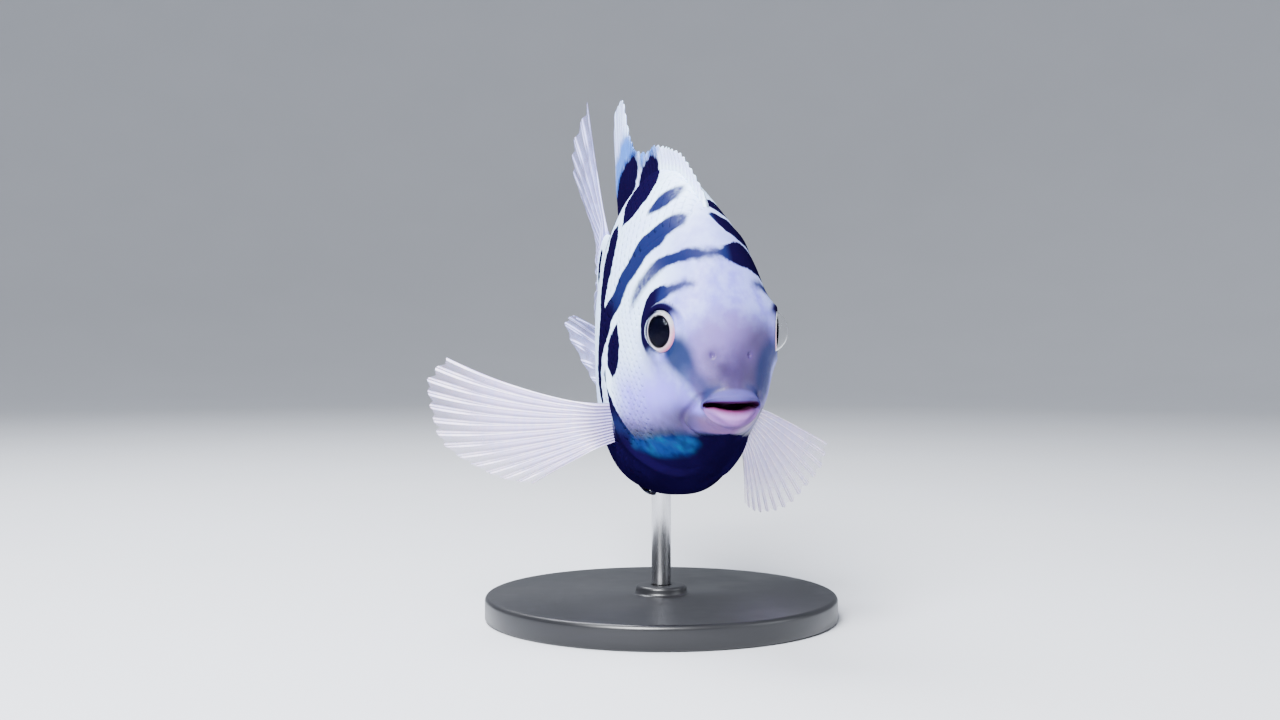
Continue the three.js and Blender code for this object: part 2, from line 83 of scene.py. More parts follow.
GILL_EDGE = {
    "radians": [0, 0.5, 1.1, 1.6, 2.1, 2.6, 2.95, math.pi],
    "share": [0.225, 0.252, 0.335, 0.36, 0.31, 0.21, 0.142, 0.12],
}
GILL_LIFT = 0.55
GILL_LIFT_REACH = 0.035
GILL_FLANK = {"top": 0.35, "top_fade": 0.6, "bottom": 3, "bottom_fade": 0.35}  # where the edge is free
EYE = {"share": 0.118, "height": 0.13, "apex": 0.15, "radius": 3.4, "forward": 24, "upward": 4}
ORBIT = {"height": 0.95, "flat": 3.1, "reach": 2.3}
ORBIT_START = {"u": 0.02, "fade": 0.03}  # the mound stops short of the lips

# The skin's finer relief
COAT_DEPTH = 0.06  # the skin lies this far inside the solids, to make room for the scales
RIM = {"crest": 3.5, "height": 1.62, "inner": 3.0, "fade": 1.0}  # the ring of skin round each eye
RIM_DROP = {"inner": 0.5, "under": 1.5}  # how far the skin falls inside the rim, and then under the eyeball
DARK_RING = {"radius": 4.0, "fade": 0.6}
RING_DARKEST = np.array([0, 0.86, 0.51])  # the skin round the eye is darkest on this side
NOSTRIL = {"u": 0.05, "across": 2.9, "radius": 0.33, "depth": 0.32, "tint": 1.2}
GILL_GROOVE = {"behind": 0.5, "reach": 0.35, "depth": 0.18}
GILL_EDGE_FALL = 0.3
LIP_CREASE = {"u": 0.013, "height": -0.08, "reach": 0.009}  # above the upper lip
LIP_EDGE = {"u": -0.056, "height": 0.55, "reach": 0.018}  # the lower lip's inner edge is raised
LIP_TURNS = {"upper": 1.4, "lower": 1.9, "fade": 0.5}  # where these start to fade, in radians from the back
FOLD_REACH = 16  # a fold's dent is worked out only this near its middle


def lerp(a, b, t):
    return a + (b - a) * t


def step(x, start, width):
    """An S-shaped step that is 0 up to the start and 1 after the given width."""
    t = np.clip((np.asarray(x, float) - start) / width, 0, 1)
    return t * t * (3 - 2 * t)


def bell(x, width):
    """1 at 0, fading away on both sides over about this width."""
    return np.exp(-((x / width) ** 2))


def length_of(vectors):
    return np.linalg.norm(vectors, axis=-1)


def unit(vectors):
    return vectors / np.maximum(length_of(vectors)[..., None], 1e-12)


def turn_of(angle):
    """The signed angle from the back, between minus and plus half a turn."""
    return (angle + math.pi) % (2 * math.pi) - math.pi


def curve(xs, ys):
    """A monotone cubic curve through a few points."""
    xs, ys = np.asarray(xs, float), np.asarray(ys, float)
    widths = np.diff(xs)
    slopes = np.diff(ys) / widths
    tangents = np.zeros_like(ys)
    tangents[0], tangents[-1] = slopes[0], slopes[-1]
    before, after, left, right = slopes[:-1], slopes[1:], widths[:-1], widths[1:]
    with np.errstate(divide="ignore", invalid="ignore"):
        inner = 3 * (left + right) / ((2 * right + left) / before + (right + 2 * left) / after)
    tangents[1:-1] = np.where(before * after > 0, inner, 0)

    def value(x):
        x = np.clip(x, xs[0], xs[-1])
        i = np.clip(np.searchsorted(xs, x, side="right") - 1, 0, len(widths) - 1)
        t = (x - xs[i]) / widths[i]
        bend = widths[i] * t * (1 - t) * (tangents[i] * (1 - t) - tangents[i + 1] * t)
        return lerp(ys[i], ys[i + 1], t * t * (3 - 2 * t)) + bend

    return value


def station_curve(column, key):
    scale = 1 if key in ("back", "belly") else LENGTH
    return curve(STATIONS[:, 0], STATIONS[:, column] * scale)


along = {key: station_curve(column, key) for column, key in enumerate(STATION_KEYS)}
gill_edge = curve(GILL_EDGE["radians"], GILL_EDGE["share"])


def form(u, angle):
    """The plain body form in body millimetres. angle is in radians, 0 at the back, growing to the left."""
    u, angle = np.broadcast_arrays(np.asarray(u, float), np.asarray(angle, float))
    side, up = np.sin(angle), np.cos(angle)
    power = np.where(up < 0, along["belly"](u), along["back"](u))
    x = along["half"](u) * np.sign(side) * np.abs(side) ** power
    middle = along["widest"](u)
    reach = np.where(up < 0, middle - along["bottom"](u), along["top"](u) - middle)
    return np.stack([x, along["s"](u) + along["corner"](u) * side * side, middle + reach * up], -1)


def outward(u, angle):
    lengthwise = form(u + SMALL, angle) - form(u - SMALL, angle)
    around = form(u, angle + SMALL) - form(u, angle - SMALL)
    return unit(np.cross(around, lengthwise))


def turned(points):
    """Body axes turned to the frame's: the fish is pitched head down."""
    x, y, z = np.moveaxis(np.asarray(points, float), -1, 0)
    c, s = math.cos(PITCH), math.sin(PITCH)
    return np.stack([x, y * c - z * s, y * s + z * c], -1)


BELLY = turned(form(ROD_SHARE, math.pi))
PLACE = np.array([0, -BELLY[1], BASE_THICKNESS + BELLY_CLEARANCE - BELLY[2]])


def to_frame(points):
    """Body millimetres to the frame's metres."""
    return (turned(points) + PLACE) * MM


def angle_at_height(u, height, side):
    middle = along["widest"](u)
    reach = along["top"](u) - middle if height > middle else middle - along["bottom"](u)
    return side * math.acos(max(-1, min(1, (height - middle) / reach)))


def angle_across(u, x, on_belly):
    power = along["belly"](u) if on_belly else along["back"](u)
    angle = np.sign(x) * math.asin((abs(x) / along["half"](u)) ** (1 / power))
    return math.pi - angle if on_belly else angle


def eye_axis(side):
    forward, upward = math.radians(EYE["forward"]), math.radians(EYE["upward"])
    level = math.cos(upward)
    return np.array([side * math.cos(forward) * level, -math.sin(forward) * level, math.sin(upward)])


def eye_centre(side):
    apex = np.array([side * EYE["apex"], EYE["share"], EYE["height"]]) * LENGTH
    return apex - eye_axis(side) * EYE["radius"]


def from_eye(points, side):
    """Each point's height along the eye's axis, its offset across it and that offset's length."""
    offset = points - eye_centre(side)
    height = offset @ eye_axis(side)
    across = offset - height[..., None] * eye_axis(side)
    return height, across, length_of(across)


def from_nostril(points, side):
    pit = form(NOSTRIL["u"], angle_across(NOSTRIL["u"], side * NOSTRIL["across"], False))
    return length_of(points - pit)


# Strokes: lines drawn on the body, used for both markings and folds

STROKE_REACH = 3  # how far outside a stroke its depth is still worked out
FAR_OUTSIDE = -9.0  # the depth beyond that
FINE = 25 / 3  # points along a stroke for each of its rows


def through(rows):
    """Rows of numbers run through a smooth curve, at a close spacing."""
    rows = np.asarray(rows, float)
    knots = np.linspace(0, 1, len(rows))
    fine = np.linspace(0, 1, int(len(rows) * FINE))
    return np.stack([curve(knots, column)(fine) for column in rows.T], -1)


def on_body(rows, side):
    """A stroke from rows of share, degrees, half width and strength. Degrees grow towards that side."""
    rows = through(rows)
    return form(rows[:, 0], side * np.radians(rows[:, 1])), rows[:, 2], rows[:, 3]


def on_fin(rows):
    """A stroke on a fin of the middle plane, from rows of share, height share, half width and strength."""
    rows = through(rows)
    points = np.stack([np.zeros(len(rows)), rows[:, 0] * LENGTH, rows[:, 1] * LENGTH], -1)
    return points, rows[:, 2], rows[:, 3]


def inside_strokes(points, strokes):
    """How many millimetres each point lies inside the nearest stroke's edge, and that stroke's strength."""
    flat = points.reshape(-1, 3)
    depth = np.full(len(flat), FAR_OUTSIDE)
    strength = np.zeros(len(flat))
    for centres, widths, strengths in strokes:
        reach = widths.max() + STROKE_REACH
        near = np.all((flat > centres.min(0) - reach) & (flat < centres.max(0) + reach), axis=1)
        if not near.any():
            continue
        inner = widths - length_of(flat[near][:, None] - centres)
        best = inner.argmax(1)
        deepest = inner[np.arange(len(best)), best]
        better = deepest > depth[near]
        index = np.flatnonzero(near)[better]
        depth[index] = deepest[better]
        strength[index] = strengths[best[better]]
    return depth.reshape(points.shape[:-1]), strength.reshape(points.shape[:-1])


# Markings. Bars run round the body: rows of degrees from the back, front share, back share and strength.
# Strength 1 is navy black, and less is blue and then grey. The near side is the fish's right. Degrees grow
# towards it, and are negative on the left.
RIGHT_BARS = {
    "shoulder bar": [
        [19, 0.262, 0.264, 0.4], [24, 0.243, 0.289, 0.5], [30, 0.25, 0.31, 0.62], [36, 0.256, 0.324, 0.72],
        [41, 0.259, 0.337, 0.77], [50, 0.283, 0.362, 0.77], [56, 0.293, 0.364, 0.75],
        [65, 0.314, 0.384, 0.76], [72, 0.322, 0.395, 0.8], [78, 0.342, 0.43, 0.95], [85, 0.352, 0.44, 1],
        [88, 0.385, 0.42, 1], [90, 0.4, 0.4, 1],
    ],
    "nape bar": [
        [-66, 0.208, 0.208, 0.7], [-56, 0.185, 0.22, 0.8], [-42, 0.156, 0.21, 0.95], [-28, 0.137, 0.192, 1],
        [-16, 0.129, 0.174, 1], [-7, 0.131, 0.159, 0.85], [2, 0.134, 0.152, 0.66], [11, 0.137, 0.155, 0.55],
        [20, 0.142, 0.166, 0.62], [28, 0.155, 0.184, 0.68], [35, 0.168, 0.197, 0.74],
        [41, 0.184, 0.217, 0.76], [47, 0.202, 0.241, 0.68], [52, 0.213, 0.256, 0.58],
        [57, 0.226, 0.266, 0.52], [62, 0.24, 0.278, 0.48], [67, 0.25, 0.279, 0.42],
        [71, 0.262, 0.266, 0.36],
    ],
    "left shoulder bar": [
        [-87, 0.39, 0.41, 1], [-80, 0.345, 0.42, 1], [-68, 0.31, 0.38, 0.9], [-55, 0.275, 0.345, 0.95],
        [-40, 0.228, 0.3, 1], [-25, 0.197, 0.262, 1], [-14, 0.194, 0.246, 1], [-6, 0.21, 0.245, 0.9],
        [0, 0.23, 0.24, 0.7],
    ],
    "left back patch": [
        [-37, 0.35, 0.36, 0.7], [-27, 0.285, 0.345, 0.9], [-16, 0.264, 0.315, 1], [-7, 0.264, 0.3, 1],
        [0, 0.28, 0.312, 0.9], [5, 0.302, 0.304, 0.7],
    ],
}
BOTH_BARS = {
    "back bar": [
        [0, 0.598, 0.72, 1], [7, 0.576, 0.715, 1], [17, 0.521, 0.682, 1], [24, 0.484, 0.648, 1],
        [29, 0.469, 0.63, 1], [34, 0.46, 0.622, 1], [40, 0.468, 0.612, 1], [44, 0.474, 0.59, 1],
        [47, 0.492, 0.556, 0.95], [50, 0.52, 0.525, 0.8],
    ],
    "body bar": [
        [52, 0.565, 0.58, 0.8], [54, 0.52, 0.61, 1], [58, 0.49, 0.62, 1], [62, 0.468, 0.59, 1],
        [68, 0.452, 0.578, 1], [74, 0.446, 0.524, 1], [78, 0.435, 0.49, 1], [82, 0.401, 0.463, 1],
        [86, 0.39, 0.457, 1], [90, 0.4, 0.454, 1], [96, 0.415, 0.457, 1], [105, 0.422, 0.453, 1],
        [111, 0.411, 0.44, 1], [117, 0.416, 0.418, 1],
    ],
    "sixth bar": [
        [30, 0.7, 0.702, 0.9], [38, 0.675, 0.735, 1], [60, 0.665, 0.75, 1], [85, 0.66, 0.742, 1],
        [110, 0.655, 0.72, 1], [128, 0.66, 0.69, 1], [138, 0.67, 0.672, 0.8],
    ],
    "seventh bar": [
        [0, 0.8, 0.86, 1], [30, 0.795, 0.872, 1], [70, 0.8, 0.88, 1], [110, 0.812, 0.876, 1],
        [145, 0.83, 0.862, 0.9], [155, 0.845, 0.847, 0.8],
    ],
    "tail bar": [
        [52, 0.985, 0.987, 0.9], [60, 0.95, 0.99, 1], [85, 0.945, 0.992, 1], [110, 0.955, 0.985, 1],
        [120, 0.97, 0.972, 0.9],
    ],
    "gill spot": [
        [79, 0.316, 0.322, 1], [81, 0.306, 0.331, 1], [84, 0.291, 0.342, 1], [88, 0.286, 0.349, 1],
        [91, 0.286, 0.349, 1], [95, 0.294, 0.347, 1], [97, 0.304, 0.338, 1], [99, 0.32, 0.324, 1],
    ],
    "gill line": [
        [98, 0.388, 0.392, 1], [101, 0.37, 0.395, 1], [105, 0.338, 0.378, 1], [109, 0.318, 0.366, 1],
        [113, 0.298, 0.345, 1], [118, 0.276, 0.33, 1], [124, 0.25, 0.34, 1],
    ],
}
DEGREE = 0.2  # millimetres round the body, about, for the ends of the bars
BELLY_EDGE = curve(
    [0.022, 0.034, 0.05, 0.062, 0.078, 0.093, 0.13, 0.18, 0.26, 0.3, 0.36, 0.45, 0.55, 0.64, 0.7, 0.74],
    [186, 164, 148, 141, 136.5, 132, 125.5, 123, 121, 118, 121, 128, 139, 152, 166, 186],
)

# Smaller marks are strokes: rows of share, degrees, half width and strength
SMALL_MARKS = {
    "eye brow": [
        [0.128, 85, 0.5, 0.3], [0.147, 83, 0.8, 0.5], [0.162, 80.5, 1.0, 0.75], [0.178, 75, 1.2, 1],
        [0.189, 69, 1.5, 1], [0.189, 64, 1.8, 1], [0.181, 60, 1.75, 0.92], [0.167, 56, 1.55, 0.76],
        [0.156, 52, 1.0, 0.64], [0.143, 46, 0.8, 0.58], [0.132, 39.5, 0.65, 0.54], [0.121, 33.5, 0.4, 0.42],
    ],
    "lip line": [
        [0.005, 68, 0.5, 0.55], [0.012, 58, 0.7, 0.6], [0.017, 44, 0.55, 0.56], [0.018, 28, 0.4, 0.4],
    ],
}

# The soft blue streaks from the eyes to the lips. The left one, on the far side, is partly the streak's
# colour and partly painted shade, widened and darkened out to that side's contour.
RIGHT_STREAK = [
    [0.1, 71, 1.6, 1], [0.09, 69, 2.2, 1], [0.081, 70, 2.2, 0.98], [0.075, 70.5, 2.0, 0.98],
    [0.066, 70.5, 1.7, 0.92], [0.055, 69, 1.4, 0.8], [0.035, 62, 1.2, 0.7], [0.015, 55, 1.0, 0.75],
]
LEFT_STREAK_AND_SHADE = [
    [0.094, 72, 1.4, 0.74], [0.075, 66, 1.9, 0.8], [0.06, 66, 2.1, 0.84], [0.052, 69, 2.1, 0.84],
    [0.041, 74, 2.0, 0.8], [0.028, 76, 1.8, 0.76], [0.012, 74, 1.4, 0.72],
]
BACK_PATCH = [
    [0.396, 36, 0.9, 0.66], [0.388, 32, 1.6, 0.72], [0.378, 27, 2.1, 0.66], [0.37, 21, 1.8, 0.5],
    [0.366, 16, 1.0, 0.4],
]
DORSAL_MARKS = [
    [[0.628, 0.395, 2.3, 1], [0.665, 0.392, 2.9, 1], [0.71, 0.37, 2.4, 1], [0.75, 0.325, 1.3, 1]],
    [[0.8, 0.38, 2.3, 1], [0.84, 0.355, 3.6, 1], [0.88, 0.325, 3.8, 1], [0.92, 0.29, 2.6, 1],
     [0.945, 0.255, 1.2, 1]],
]
DORSAL_GLOW = [
    [[0.64, 0.45, 1.6, 1], [0.7, 0.45, 2.9, 1], [0.75, 0.42, 2.2, 1]],
    [[0.79, 0.435, 2.0, 1], [0.87, 0.425, 3.4, 1], [0.94, 0.38, 3.8, 1], [0.965, 0.33, 3.4, 1],
     [0.96, 0.27, 2.6, 1]],
]
TEAL_PATCH = [
    [0.25, 127, 0.7, 1], [0.225, 129, 1.2, 1], [0.185, 132, 1.7, 1], [0.15, 135, 1.8, 1],
    [0.12, 139, 1.6, 1], [0.094, 141, 1.1, 1],
]

# Darker places of the face: share, degrees towards the right, radius and amount. Those on the left snout,
# from -24 to -50 degrees, are painted shade on the far side; the others darken the face in small patches.
DUSKY_AND_SHADED_PLACES = [
    [0.028, -24, 4.2, 0.7], [0.05, -34, 3.6, 0.4], [0.077, -50, 3.8, 0.8], [0.035, 16, 1.2, 0.5],
    [0.064, 112, 3.0, 0.65], [0.085, 124, 2.4, 0.5], [0.12, 123, 2.4, 0.45], [0.09, 65, 1.4, 0.9],
    [0.064, -112, 3.0, 0.65], [0.085, -124, 2.4, 0.5],
]

# Folds of the face: rows of share, degrees, half width and depth
JAW_FOLD = [
    [0.016, 60, 0.35, 0.1], [0.023, 74, 0.45, 0.3], [0.035, 93, 0.5, 0.32], [0.05, 105, 0.5, 0.3],
    [0.068, 115, 0.5, 0.25], [0.08, 124, 0.45, 0.2], [0.07, 140, 0.4, 0.15], [0.052, 156, 0.4, 0.12],
]
LIP_FOLD = [
    [-0.022, 104, 0.4, 0.04], [-0.026, 130, 0.5, 0.1], [-0.018, 148, 0.5, 0.1], [-0.01, 166, 0.5, 0.07],
    [-0.006, 180, 0.5, 0.05],
]
CHEEK_FOLD = [
    [0.215, 82, 0.7, 0.02], [0.245, 96, 0.9, 0.08], [0.235, 112, 1.0, 0.1], [0.2, 126, 0.9, 0.08],
    [0.16, 140, 0.8, 0.04],
]


def both(rows):
    return [on_body(rows, RIGHT), on_body(rows, LEFT)]


BODY_STROKES = [on_body(BACK_PATCH, RIGHT)]
for small_mark in SMALL_MARKS.values():
    BODY_STROKES += both(small_mark)
FIN_STROKES = [on_fin(rows) for rows in DORSAL_MARKS]
GLOW_STROKES = [on_fin(rows) for rows in DORSAL_GLOW]
STREAKS = [on_body(RIGHT_STREAK, RIGHT), on_body(LEFT_STREAK_AND_SHADE, LEFT)]
# The jaw's and lips' folds are also darkened in the material: painted shade in their creases
DARK_FOLDS = both(JAW_FOLD) + both(LIP_FOLD)
FOLDS = DARK_FOLDS + both(CHEEK_FOLD)


def body_marks(points, u, angle):
    """How far each point lies inside the nearest mark, in millimetres, that mark's strength, and how far it
    lies inside the dark belly."""
    depth, strength = inside_strokes(points, BODY_STROKES)
    signed = -np.degrees(turn_of(angle))
    bars = [(rows, signed) for rows in RIGHT_BARS.values()]
    bars += [(rows, np.abs(signed)) for rows in BOTH_BARS.values()]
    for rows, degrees in bars:
        at, front, back, darkness = np.array(rows, float).T
        within = np.clip(degrees, at[0], at[-1])
        inner = np.minimum(u - curve(at, front)(within), curve(at, back)(within) - u) * LENGTH
        inner -= np.abs(degrees - within) * DEGREE
        better = inner > depth
        depth = np.where(better, inner, depth)
        strength = np.where(better, curve(at, darkness)(within), strength)
    return depth, strength, (np.abs(signed) - BELLY_EDGE(u)) * DEGREE


def seat_eyes(points):
    """Draws the skin in to a rounded rim round each eyeball, and under it inside the rim."""
    for side in SIDES.values():
        height, _, off = from_eye(points, side)
        inner = np.clip((RIM["crest"] - off) / (RIM["crest"] - RIM["inner"]), 0, 1)
        target = RIM["height"] - RIM_DROP["inner"] * inner**2
        target -= RIM_DROP["under"] * step(RIM["inner"] - off, 0, 1)
        weight = (1 - step(off, RIM["crest"], RIM["fade"])) * (height > -1)  # on this side of the head
        points = points + (weight * (target - height))[..., None] * eye_axis(side)
    return points


def skin(u, angle):
    """The skin's surface, with its orbits, gill covers, folds and nostrils."""
    u, angle = np.broadcast_arrays(np.asarray(u, float), np.asarray(angle, float))
    points, turn = form(u, angle), np.abs(turn_of(angle))
    lift = np.full(u.shape, -COAT_DEPTH)
    off_lips = np.clip((u - ORBIT_START["u"]) / ORBIT_START["fade"], 0, 1)
    for side in SIDES.values():
        mound = bell(np.maximum(0, from_eye(points, side)[2] - ORBIT["flat"]), ORBIT["reach"])
        lift += ORBIT["height"] * mound * off_lips * (np.sin(angle) * side > 0)
        lift -= NOSTRIL["depth"] * np.exp(-((from_nostril(points, side) / NOSTRIL["radius"]) ** 3))
    behind = (u - gill_edge(turn)) * LENGTH
    rise = (1 - step(-behind, 0, GILL_LIFT_REACH * LENGTH)) * (1 - step(behind, 0, GILL_EDGE_FALL))
    free = step(turn, GILL_FLANK["top"], GILL_FLANK["top_fade"])
    free = free * step(GILL_FLANK["bottom"] - turn, 0, GILL_FLANK["bottom_fade"])
    groove = GILL_GROOVE["depth"] * bell(behind - GILL_GROOVE["behind"], GILL_GROOVE["reach"])
    lift += free * (GILL_LIFT * rise - groove)
    above = 1 - step(turn, LIP_TURNS["upper"], LIP_TURNS["fade"])
    below = step(turn, LIP_TURNS["lower"], LIP_TURNS["fade"])
    for relief, part in ((LIP_CREASE, above), (LIP_EDGE, below)):
        lift += relief["height"] * bell(u - relief["u"], relief["reach"]) * part
    flat = points.reshape(-1, 3)
    for centres, widths, depths in FOLDS:
        near = np.flatnonzero(length_of(flat - centres.mean(0)) < FOLD_REACH)
        gaps = length_of(flat[near][:, None] - centres)
        best = gaps.argmin(1)
        lift.reshape(-1)[near] -= depths[best] * bell(gaps.min(1), widths[best])
    return seat_eyes(points + outward(u, angle) * lift[..., None])


def blob(points, share, degrees, radius):
    """A soft round patch, 1 at its middle."""
    return bell(length_of(points - form(share, RIGHT * math.radians(degrees))), radius)


def tints(points, u, angle):
    """The fields that the skin's and the scales' material reads. Most areas are steps along u and round the
    body, in degrees from the back."""
    mark, strength, belly = body_marks(points, u, angle)
    teal, _ = inside_strokes(points, [on_body(TEAL_PATCH, RIGHT)])
    fold, _ = inside_strokes(points, DARK_FOLDS)
    streak, streak_share = inside_strokes(points, STREAKS)
    turn = np.degrees(np.abs(turn_of(angle)))
    upper = 1 - step(turn, 95, 15)
    # The forehead and nape are darker than the flank, partly their own colour and partly painted shade
    crown = 1 - step(u, 0.11, 0.12)
    nape = (1 - step(u, 0.2, 0.16)) * (1 - step(turn, 30, 35))
    dusk_and_shade = sum(amount * blob(points, *place) for *place, amount in DUSKY_AND_SHADED_PLACES)
    # Purple painted shade round the nostril pits
    pits = sum(bell(from_nostril(points, side), NOSTRIL["tint"]) for side in SIDES.values())
    ring = 0
    for side in SIDES.values():
        height, across, off = from_eye(points, side)
        rear = step(across @ RING_DARKEST / np.maximum(off, 1e-6), -0.5, 0.7)
        ring = ring + (1 - step(off, DARK_RING["radius"], DARK_RING["fade"])) * (height > 0) * rear
    return {
        "mark": mark,
        "strength": strength,
        "belly": belly,
        "ring": ring,
        "teal": step(teal, -1.2, 2.2),
        "fold": step(fold, -0.5, 0.7),
        "crown": np.maximum(crown, 0.8 * nape),
        "streak": step(streak, -1.1, 2.0) * streak_share,
        "dusk_and_shade": np.clip(dusk_and_shade, 0, 0.9),
        "snout": (1 - step(u, 0.02, 0.09)) * (1 - step(turn, 50, 45)),
        "cheek": step(turn, 84, 22) * (1 - step(u, 0.24, 0.1)),
        # The lower face is darker violet, partly its own colour and partly painted shade under the top light
        "low": step(turn, 104, 16) * (1 - step(u, 0.27, 0.08)),
        "jaw": step(turn, 108, 20) * (1 - step(u, 0.035, 0.04)),
        "lips": step(lerp(-0.008, 0.014, upper) - u, 0, 0.01) * step(u, -0.064, 0.01),
        "upper": upper,
        "gum": step(-0.036 - u, 0, 0.014) * (1 - upper),
        # The mouth's inside and the underside of the upper lip, painted dark maroon as shade
        "mouth": step(lerp(-0.056, -0.021, upper) - u, 0, 0.01),
        "pits": np.clip(pits, 0, 1),
    }


# Meshes


def mesh_object(name, points, faces, fields=None):
    """A smooth mesh from points in the frame's metres, with its fields as attributes of its points."""
    mesh = bpy.data.meshes.new(name)
    mesh.from_pydata(np.reshape(points, (-1, 3)).tolist(), [], [list(face) for face in faces])
    for key, values in (fields or {}).items():
        attribute = mesh.attributes.new(key, "FLOAT", "POINT")
        attribute.data.foreach_set("value", np.asarray(values, np.float32).ravel())
    mesh.polygons.foreach_set("use_smooth", [True] * len(mesh.polygons))
    mesh.update()
    made = bpy.data.objects.new(name, mesh)
    bpy.context.scene.collection.objects.link(made)
    return made


def grid_faces(rows, columns, closed, start=0, flip=False):
    """Quads over a grid of points. closed joins the last column to the first."""
    r = np.arange(rows - 1)[:, None]
    c = np.arange(columns if closed else columns - 1)[None]
    a = start + r * columns + c
    b = start + r * columns + (c + 1) % columns
    quads = np.stack([a, b, b + columns, a + columns], -1).reshape(-1, 4)
    return quads[:, ::-1] if flip else quads


def capped_faces(rows, columns, flip=False):
    """Faces of a closed form: a grid joined all round, and fans to the two end points that follow it."""
    faces = grid_faces(rows, columns, True).tolist()
    first, last = rows * columns, (rows - 1) * columns
    for i in range(columns):
        j = (i + 1) % columns
        faces += [[first, j, i], [first + 1, last + i, last + j]]
    return [face[::-1] for face in faces] if flip else faces


def sheet_faces(rows, columns):
    """Faces that join two like grids, a front and a back that follows it, into one closed thin sheet."""
    size = rows * columns
    faces = [grid_faces(rows, columns, False), grid_faces(rows, columns, False, size, True)]
    index = np.arange(size).reshape(rows, columns)
    border = np.concatenate([index[0], index[1:, -1], index[-1, -2::-1], index[-2:0:-1, 0]])
    ahead = np.roll(border, -1)
    faces.append(np.stack([border, border + size, ahead + size, ahead], -1))
    return np.concatenate(faces)


def arc(radius, start, end, count):
    """Rows of radius and height along a circle, between two angles from its top in degrees."""
    angles = np.radians(np.linspace(start, end, count))
    return [(radius * math.sin(a), radius * math.cos(a)) for a in angles]


def lathe(profile, segments, centre, axis):
    """A closed turned form from rows of radius and height along the axis, both ends on the axis."""
    axis = np.asarray(axis, float)
    first = np.cross(axis, [0, 0, 1] if abs(axis[2]) < 0.9 else [0, 1, 0])
    first /= np.linalg.norm(first)
    second = np.cross(axis, first)
    around = np.linspace(0, 2 * math.pi, segments, endpoint=False)
    ring = np.cos(around)[:, None] * first + np.sin(around)[:, None] * second
    inner = np.asarray(profile[1:-1], float)
    points = centre + inner[:, None, :1] * ring + inner[:, None, 1:] * axis
    ends = [centre + profile[0][1] * axis, centre + profile[-1][1] * axis]
    return np.concatenate([points.reshape(-1, 3), ends]), capped_faces(len(inner), segments)


def finish_piece(made, material, replaced=()):
    made.data.materials.append(material)
    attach(made, "root")
    if replaced:
        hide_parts(*replaced)


# Materials


class Nodes:
    """A small helper that writes one material's nodes. Its body is the colour laid down so far."""

    def __init__(self, name, body=None):
        self.material = bpy.data.materials.new(name)
        self.material.use_nodes = True
        self.tree = self.material.node_tree
        self.shader = self.tree.nodes["Principled BSDF"]
        self.body = body

    def link(self, value, socket):
        if isinstance(value, bpy.types.NodeSocket):
            self.tree.links.new(value, socket)
        else:
            socket.default_value = value

    def add(self, kind, inputs, **settings):
        """A new node's outputs. Its inputs go by name or number, and are values or other nodes' outputs."""
        node = self.tree.nodes.new(kind)
        for key, value in settings.items():
            setattr(node, key, value)
        for key, value in inputs.items():
            self.link(value, node.inputs[key])
        return node.outputs

    def field(self, name):
        return self.add("ShaderNodeAttribute", {}, attribute_name=name)["Fac"]

    def noise(self, size, detail=2.0, roughness=0.5, stretch=(1, 1, 1)):
        """Noise whose features are about this many millimetres across."""
        place = self.add("ShaderNodeTexCoord", {})["Object"]
        place = self.add("ShaderNodeMapping", {"Vector": place, "Scale": stretch})["Vector"]
        inputs = {"Vector": place, "Scale": 1 / (size * MM), "Detail": detail, "Roughness": roughness}
        return self.add("ShaderNodeTexNoise", inputs)["Fac"]

    def math(self, operation, a, b):
        return self.add("ShaderNodeMath", {0: a, 1: b}, operation=operation)[0]

    def times(self, a, b):
        return self.math("MULTIPLY", a, b)

    def plus(self, a, b):
        return self.math("ADD", a, b)

    def most(self, *values):
        return reduce(lambda a, b: self.math("MAXIMUM", a, b), values)

    def ramp(self, value, low, high, to_low=0.0, to_high=1.0):
        """Maps a value from low..high to to_low..to_high by a smooth step."""
        inputs = dict(enumerate((value, low, high, to_low, to_high)))
        return self.add("ShaderNodeMapRange", inputs, interpolation_type="SMOOTHSTEP")[0]

    def mix(self, amount, a, b):
        return self.add("ShaderNodeMix", {0: amount, 6: a, 7: b}, data_type="RGBA")[2]

    def lay(self, amount, tint):
        """Lays a tint over the body, as strong as the amount says."""
        self.body = self.mix(amount, self.body, tint)

    def bump(self, height, strength, distance):
        """Bump from a height that is this many millimetres at 1."""
        inputs = {"Height": height, "Strength": strength, "Distance": distance * MM}
        return self.add("ShaderNodeBump", inputs)["Normal"]

    def set(self, **inputs):
        """Sets the shader's inputs, with the body as its colour, and gives the material."""
        for key, value in {"Base_Color": self.body, **inputs}.items():
            self.link(value, self.shader.inputs[key.replace("_", " ")])
        return self.material


def colour(r, g, b):
    return (r, g, b, 1.0)


PEARL = colour(0.58, 0.76, 1.0)
ICE_BLUE = colour(0.4, 0.48, 1.0)
BROW = colour(0.14, 0.135, 0.55)
LILAC_GREY = colour(0.13, 0.088, 0.29)
SNOUT_DARK = colour(0.05, 0.034, 0.11)
DUSK_AND_SHADE = colour(0.022, 0.013, 0.05)
LAVENDER = colour(0.22, 0.17, 0.88)
VIOLET = colour(0.11, 0.08, 0.3)
JAW_PINK = colour(0.17, 0.085, 0.22)
STEEL_BLUE = colour(0.032, 0.035, 0.1)
INK_BLUE = colour(0.007, 0.01, 0.052)
NAVY = colour(0.003, 0.0012, 0.016)
BELLY_BLUE = colour(0.004, 0.0014, 0.024)
STREAK_BLUE = colour(0.003, 0.011, 0.06)
TEAL = colour(0.006, 0.03, 0.14)
TEAL_SHEEN_HIGHLIGHT = colour(0.008, 0.085, 0.2)
CYAN = colour(0.02, 0.115, 0.46)
ROYAL_BLUE = colour(0.004, 0.022, 0.16)
